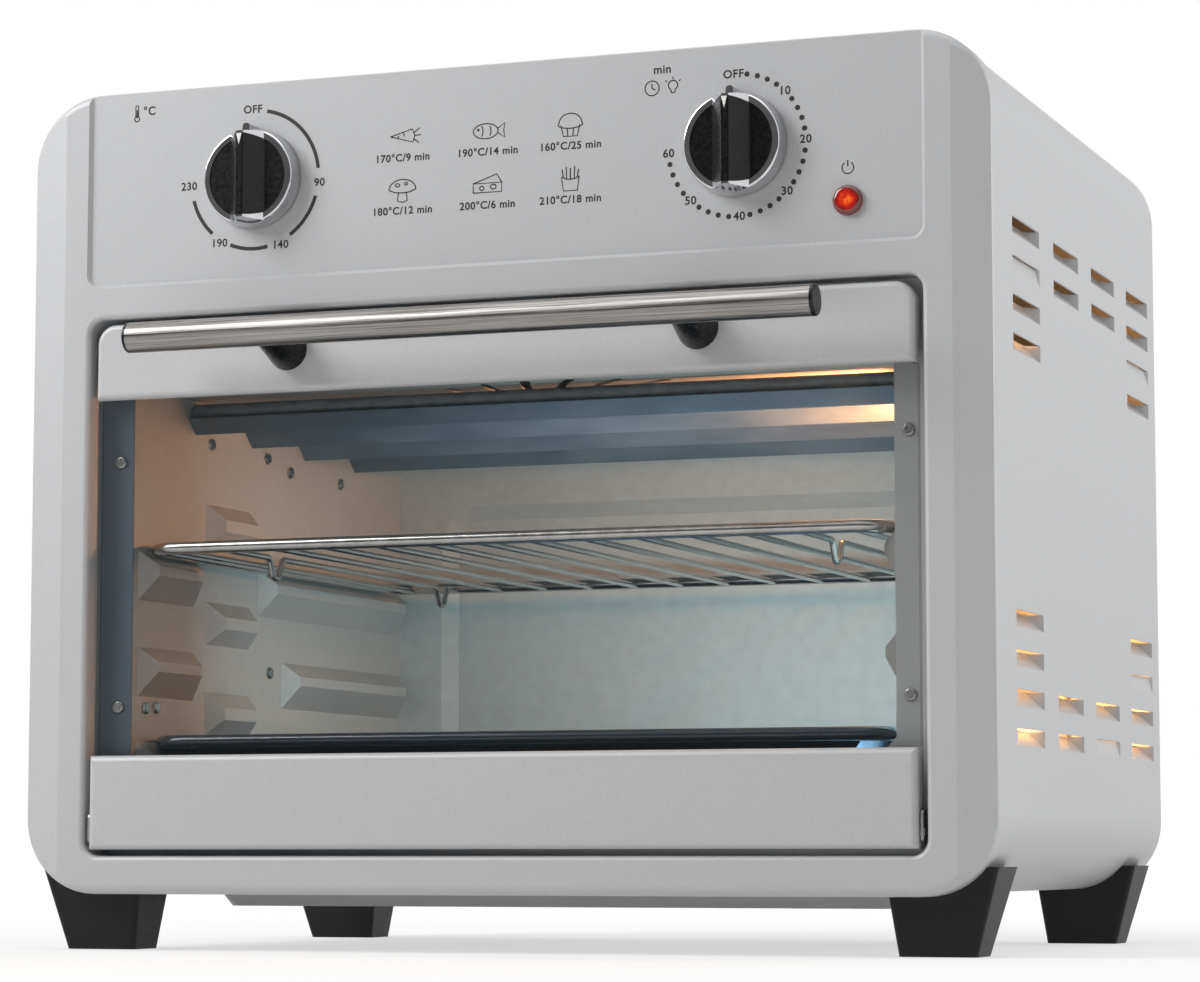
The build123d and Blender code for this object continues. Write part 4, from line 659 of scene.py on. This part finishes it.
# %% [markdown]
# ## A white mark on each knob
# The top end of each finger grip has a small white wedge that points at the dial. It is a three-sided disc,
# drawn out to a narrow wedge and given the thickness of the ink, and it turns with its knob. A three-sided
# disc is one and a half times its radius high, which is what its length is divided by.

# %% Knob marks
MARK_LENGTH = 4.5 * MM
MARK_RADIUS = 1.0 * MM
MARK_WIDENING = 1.35
MARK_DROP_SHARE = 0.4


def knob_mark(knob):
    """A white wedge on the front of a knob's finger grip, at its top end."""
    low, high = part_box(knob + "_grip")
    middle = (low + high) / 2
    place = (middle.x, low.y - INK_THICKNESS / 2, high.z - MARK_LENGTH * MARK_DROP_SHARE)
    deselect()
    bpy.ops.mesh.primitive_circle_add(vertices=3, radius=MARK_RADIUS, fill_type="NGON",
                                      rotation=(math.pi / 2, math.pi, 0), location=place)
    mark = bpy.context.object
    mark.scale = (MARK_WIDENING, MARK_LENGTH / (1.5 * MARK_RADIUS), 1)
    bpy.ops.object.transform_apply(location=False, rotation=True, scale=True)
    thicken_print(mark)
    settle(mark, knob + "_mark", white_ink, knob)


knob_mark("temperature_knob")
knob_mark("timer_knob")

# %% [markdown]
# ## Screws with a cross recess
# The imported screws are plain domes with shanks. One detailed head is made with a boolean: a cylinder,
# its front edge bevelled to a dome, and two crossed blades cut into it. Copies then take the places of
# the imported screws, each with its own mesh.

# %% Model one screw
SCREW_RADIUS, SCREW_HEAD, SHANK_RADIUS = 3.2 * MM, 1.8 * MM, 1.6 * MM
HEAD_SIDES, SHANK_SIDES = 40, 24
DOME_SHARE, DOME_STEPS = 0.62, 5
BLADE_LENGTH_SHARE, BLADE_WIDTH_SHARE, BLADE_DEPTH_SHARE = 1.15, 0.24, 1.1
SMOOTH_DEGREES = 35


def model_screw(shank):
    """A pan-head screw about the origin, its head towards +Z and its seat at z = 0."""
    deselect()
    bpy.ops.mesh.primitive_cylinder_add(vertices=HEAD_SIDES, radius=SCREW_RADIUS, depth=SCREW_HEAD,
                                        location=(0, 0, SCREW_HEAD / 2))
    screw = bpy.context.object
    bpy.ops.object.mode_set(mode="EDIT")
    bpy.ops.mesh.select_all(action="DESELECT")
    bpy.ops.object.mode_set(mode="OBJECT")
    for edge in screw.data.edges:
        edge.select = all(screw.data.vertices[i].co.z > 0 for i in edge.vertices)
    bpy.ops.object.mode_set(mode="EDIT")
    bpy.ops.mesh.bevel(offset=SCREW_HEAD * DOME_SHARE, segments=DOME_STEPS)
    bpy.ops.object.mode_set(mode="OBJECT")
    bpy.ops.object.transform_apply(location=True, rotation=False, scale=False)
    for turn in (0, math.pi / 2):
        bpy.ops.mesh.primitive_cube_add(size=1, location=(0, 0, SCREW_HEAD), rotation=(0, 0, turn))
        blade = bpy.context.object
        blade.scale = (SCREW_RADIUS * BLADE_LENGTH_SHARE, SCREW_RADIUS * BLADE_WIDTH_SHARE,
                       SCREW_HEAD * BLADE_DEPTH_SHARE)
        pick(screw)
        cut = screw.modifiers.new("recess", "BOOLEAN")
        cut.object = blade
        cut.operation = "DIFFERENCE"
        cut.solver = "EXACT"
        bpy.ops.object.modifier_apply(modifier="recess")
        bpy.data.objects.remove(blade)
    bpy.ops.mesh.primitive_cylinder_add(vertices=SHANK_SIDES, radius=SHANK_RADIUS, depth=shank,
                                        location=(0, 0, -shank / 2))
    whole = join([screw, bpy.context.object])
    bpy.ops.object.shade_smooth_by_angle(angle=math.radians(SMOOTH_DEGREES))
    return whole


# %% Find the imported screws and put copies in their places
def place_copies(original, places, name, material, body, replaced):
    """Copies a piece to each (location, rotation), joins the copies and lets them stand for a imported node."""
    copies = []
    for location, rotation in places:
        copy = original.copy()
        copy.data = original.data.copy()
        bpy.context.scene.collection.objects.link(copy)
        copy.location = location
        copy.rotation_euler = rotation
        copies.append(copy)
    bpy.data.objects.remove(original)
    whole = settle(join(copies), name, material, body)
    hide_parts(replaced)
    print(name, "stands for", len(places), "packed screws")


def solid_boxes(node_name):
    """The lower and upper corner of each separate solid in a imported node, in order of place."""
    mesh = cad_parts[node_name].data
    parent = list(range(len(mesh.vertices)))
    first_at = {}

    def root(i):
        """The vertex that stands for all that i is joined to."""
        while parent[i] != i:
            parent[i] = parent[parent[i]]
            i = parent[i]
        return i

    for vertex in mesh.vertices:
        key = tuple(round(value * 1e5) for value in vertex.co)
        parent[root(vertex.index)] = root(first_at.setdefault(key, vertex.index))
    for edge in mesh.edges:
        parent[root(edge.vertices[0])] = root(edge.vertices[1])
    groups = {}
    for vertex in mesh.vertices:
        groups.setdefault(root(vertex.index), []).append(vertex.co)
    boxes = [(Vector(map(min, *points)), Vector(map(max, *points))) for points in groups.values()]
    return sorted(boxes, key=lambda box: (round(box[0].x, 4), round(box[0].y, 4), round(box[0].z, 4)))


# %% The cover screws and the foot screws
COVER_SHANK, FOOT_SHANK = 8 * MM, 16 * MM
COVER_TURN, FOOT_TURN = 0.4, 0.5
cover_places = []
for low, high in solid_boxes("cover_screws"):
    centre = (low + high) / 2
    cover_places.append(((centre.x, high.y - SCREW_HEAD, centre.z),
                         (-math.pi / 2, 0, COVER_TURN * len(cover_places))))
place_copies(model_screw(COVER_SHANK), cover_places, "cover_cross_screws", zinc_plate, OVEN, "cover_screws")

foot_places = []
for low, high in solid_boxes("foot_screws"):
    centre = (low + high) / 2
    foot_places.append(((centre.x, centre.y, low.z + SCREW_HEAD),
                        (math.pi, 0, FOOT_TURN * len(foot_places))))
place_copies(model_screw(FOOT_SHANK), foot_places, "foot_cross_screws", zinc_plate, OVEN, "foot_screws")

# %% [markdown]
# ## Floor
# The floor is pale paper. Near the oven it is lit as any surface, so that it keeps the shadow. Further out
# it fades to plain white, so that it meets the white background without a line. Only the camera and
# what it sees in gloss or through glass get that white.

# %% Paper floor
FLOOR_SIZE, FLOOR_DROP = 14, 0.0002
FADE_START, FADE_END = 0.25, 0.75
WHITE_NEAR, WHITE_FAR = 0.6, 1.0
deselect()
bpy.ops.mesh.primitive_plane_add(size=FLOOR_SIZE, location=(0, 0, -FLOOR_DROP))
floor = bpy.context.object
floor.name = "paper_floor"
paper, paper_shader = start_finish("white_paper", "#F2F2F0", metallic=0.0, roughness=0.9)
paper_white = add_node(paper, "ShaderNodeEmission", {"Color": (1, 1, 1, 1), "Strength": 1.0})
paper_path = add_node(paper, "ShaderNodeLightPath")
paper_seen = add_node(paper, "ShaderNodeMath", {0: paper_path.outputs["Is Camera Ray"],
                                                1: paper_path.outputs["Is Glossy Ray"]}, operation="MAXIMUM")
paper_any = add_node(paper, "ShaderNodeMath", {0: paper_seen.outputs["Value"],
                                               1: paper_path.outputs["Is Transmission Ray"]},
                     operation="MAXIMUM")
paper_place = add_node(paper, "ShaderNodeTexCoord")
paper_reach = add_node(paper, "ShaderNodeVectorMath", {0: paper_place.outputs["Object"]}, operation="LENGTH")
paper_fade = add_node(paper, "ShaderNodeMapRange", {"Value": paper_reach.outputs["Value"],
                                                    "From Min": FADE_START, "From Max": FADE_END,
                                                    "To Min": WHITE_NEAR, "To Max": WHITE_FAR})
paper_share = add_node(paper, "ShaderNodeMath", {0: paper_any.outputs["Value"],
                                                 1: paper_fade.outputs["Result"]}, operation="MULTIPLY")
paper_mix = add_node(paper, "ShaderNodeMixShader", {0: paper_share.outputs["Value"],
                                                    1: paper_shader.outputs["BSDF"],
                                                    2: paper_white.outputs["Emission"]})
paper_out = paper.node_tree.nodes["Material Output"]
paper.node_tree.links.new(paper_mix.outputs["Shader"], paper_out.inputs["Surface"])
floor.data.materials.append(paper)
print("floor fades to white between", FADE_START, "and", FADE_END, "m")

# %% [markdown]
# ## The room
# Chrome only looks like chrome when it has something dark to reflect. So the white room has a dim part in
# front of the oven, where the photographer would stand. The camera, and what it sees through glass, get
# plain white. Reflections get the room at full strength, and matt surfaces get it weaker.

# %% World
ROOM_STRENGTH, GLOSSY_STRENGTH = 0.42, 1.0
DIM_LEVEL = 0.12
FRONT_START, FRONT_FULL = -0.4, -0.8
LOW_START, LOW_FULL = 0.7, 0.4
world = bpy.data.worlds.new("studio")
bpy.context.scene.world = world
world.use_nodes = True
room_view = add_node(world, "ShaderNodeTexCoord")
room_axes = add_node(world, "ShaderNodeSeparateXYZ", {"Vector": room_view.outputs["Generated"]})
room_front = add_node(world, "ShaderNodeMapRange", {"Value": room_axes.outputs["Y"],
                                                    "From Min": FRONT_START, "From Max": FRONT_FULL,
                                                    "To Min": 0.0, "To Max": 1.0},
                      interpolation_type="SMOOTHSTEP")
room_low = add_node(world, "ShaderNodeMapRange", {"Value": room_axes.outputs["Z"],
                                                  "From Min": LOW_START, "From Max": LOW_FULL,
                                                  "To Min": 0.0, "To Max": 1.0},
                    interpolation_type="SMOOTHSTEP")
room_dim = add_node(world, "ShaderNodeMath", {0: room_front.outputs["Result"], 1: room_low.outputs["Result"]},
                    operation="MULTIPLY")
room_level = add_node(world, "ShaderNodeMapRange", {"Value": room_dim.outputs["Value"], "To Min": 1.0,
                                                    "To Max": DIM_LEVEL})
room_path = add_node(world, "ShaderNodeLightPath")
glossy_more = add_node(world, "ShaderNodeMapRange", {"Value": room_path.outputs["Is Glossy Ray"],
                                                     "To Min": ROOM_STRENGTH, "To Max": GLOSSY_STRENGTH})
room_power = add_node(world, "ShaderNodeMath", {0: room_level.outputs["Result"],
                                                1: glossy_more.outputs["Result"]}, operation="MULTIPLY")
room_light = world.node_tree.nodes["Background"]
room_light.inputs["Color"].default_value = (1.0, 1.0, 1.0, 1.0)
world.node_tree.links.new(room_power.outputs["Value"], room_light.inputs["Strength"])
room_seen = add_node(world, "ShaderNodeBackground", {"Color": (1, 1, 1, 1), "Strength": 1.0})
room_any = add_node(world, "ShaderNodeMath", {0: room_path.outputs["Is Camera Ray"],
                                              1: room_path.outputs["Is Transmission Ray"]},
                    operation="MAXIMUM")
room_mix = add_node(world, "ShaderNodeMixShader", {0: room_any.outputs["Value"],
                                                   1: room_light.outputs["Background"],
                                                   2: room_seen.outputs["Background"]})
world_out = world.node_tree.nodes["World Output"]
world.node_tree.links.new(room_mix.outputs["Shader"], world_out.inputs["Surface"])
print("room strength", ROOM_STRENGTH, "with a front part dimmed to", DIM_LEVEL)

# %% [markdown]
# ## Studio lamps
# Three large soft lamps light the cabinet: the main one high at the left, a second at the right that
# keeps the side with the louvres pale, and a weak one overhead.


# %% Lamps
def soft_light(name, place, aim, size, watts, color="#FFFFFF"):
    """A square soft light that faces a point."""
    bpy.ops.object.light_add(type="AREA", location=place)
    light = bpy.context.object
    light.name = name
    light.data.size = size
    light.data.energy = watts
    light.data.color = linear(color)[:3]
    light.rotation_euler = (Vector(aim) - Vector(place)).to_track_quat("-Z", "Y").to_euler()
    print(name, "gives", watts, "W")
    return light


def warm_bulb(name, place, watts, radius=0.012):
    """A small warm lamp, as an oven bulb gives."""
    bpy.ops.object.light_add(type="POINT", location=place)
    light = bpy.context.object
    light.name = name
    light.data.energy = watts
    light.data.color = linear("#FFB46A")[:3]
    light.data.shadow_soft_size = radius
    print(name, "gives", watts, "W")


OVEN_MIDDLE = (0, 0, 0.18)
soft_light("high_left", (-1.4, -1.2, 1.35), OVEN_MIDDLE, size=1.1, watts=32)
soft_light("side_right", (2.2, 1.4, 0.9), OVEN_MIDDLE, size=1.6, watts=24)
soft_light("overhead", (0.1, -0.2, 2.2), OVEN_MIDDLE, size=1.6, watts=10)

# %% [markdown]
# ## Light inside the oven
# The room's light falls through the pane on the back wall, which looks cool beside the yellow bulb. A
# narrow soft light just behind the pane stands for it: it is quicker and steadier than light that has to
# find its way through the glass. Three small bulbs in the gap behind the right wall give the louvres
# their glow. The two soft lights are hidden from the camera and from reflections, so that only what they
# light is seen.

# %% The oven lamp's glow
LAMP_STANDOFF, LAMP_AIM_FORWARD, LAMP_AIM_DROP = 0.008, 0.02, 0.03
lamp_low, lamp_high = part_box("oven_lamp_cover")
lamp_middle = (lamp_low + lamp_high) / 2
left_wall_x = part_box("cavity_left_wall")[1].x
lamp_light = soft_light("oven_lamp_glow", (lamp_low.x - LAMP_STANDOFF, lamp_middle.y, lamp_middle.z),
                        (left_wall_x, lamp_middle.y - LAMP_AIM_FORWARD, lamp_middle.z - LAMP_AIM_DROP),
                        size=0.03, watts=0.8, color="#FFB070")
lamp_light.visible_camera = False
lamp_light.visible_glossy = False

# %% The glow behind the louvres
gap_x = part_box("cavity_right_wall")[1].x + 0.018
warm_bulb("gap_glow_high", (gap_x, -0.078, 0.237), watts=0.1, radius=0.005)
warm_bulb("gap_glow_low_front", (gap_x, -0.06, 0.072), watts=0.6)
warm_bulb("gap_glow_low_rear", (gap_x, 0.08, 0.072), watts=0.8)

# %% The light through the pane
PANE_LIGHT_X, PANE_LIGHT_IN, PANE_LIGHT_RISE = 0.05, 0.03, 0.05
PANE_AIM_X, PANE_AIM_Y, PANE_AIM_RISE = 0.07, 0.1, 0.065
cavity_floor_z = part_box("cavity_floor")[1].z
pane_back_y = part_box("door_glass")[1].y
pane_light = soft_light("light_through_pane",
                        (PANE_LIGHT_X, pane_back_y + PANE_LIGHT_IN, cavity_floor_z + PANE_LIGHT_RISE),
                        (PANE_AIM_X, PANE_AIM_Y, cavity_floor_z + PANE_AIM_RISE),
                        size=0.22, watts=0.88, color="#CFF4FF")
pane_light.data.shape = "RECTANGLE"
pane_light.data.size_y = 0.06
pane_light.visible_camera = False
pane_light.visible_transmission = False
pane_light.visible_glossy = False

# %% [markdown]
# ## Camera
# The camera stands low and to the right, looks a little up, and has a long lens, as the photograph's
# edges show.

# %% Camera
CAMERA_PLACE = (0.53288, -1.43108, 0.03645)
CAMERA_TURN, CAMERA_RISE = 20.559, 5.714
SENSOR_MM, LENS_MM = 36.0, 109.88
bpy.ops.object.camera_add(location=CAMERA_PLACE)
camera = bpy.context.object
camera.rotation_euler = (math.radians(90 + CAMERA_RISE), 0, math.radians(CAMERA_TURN))
camera.data.sensor_fit = "HORIZONTAL"
camera.data.sensor_width = SENSOR_MM
camera.data.lens = LENS_MM
bpy.context.scene.camera = camera
bpy.context.scene.view_settings.view_transform = "Standard"
print("camera at", CAMERA_PLACE, "with a", LENS_MM, "mm lens")
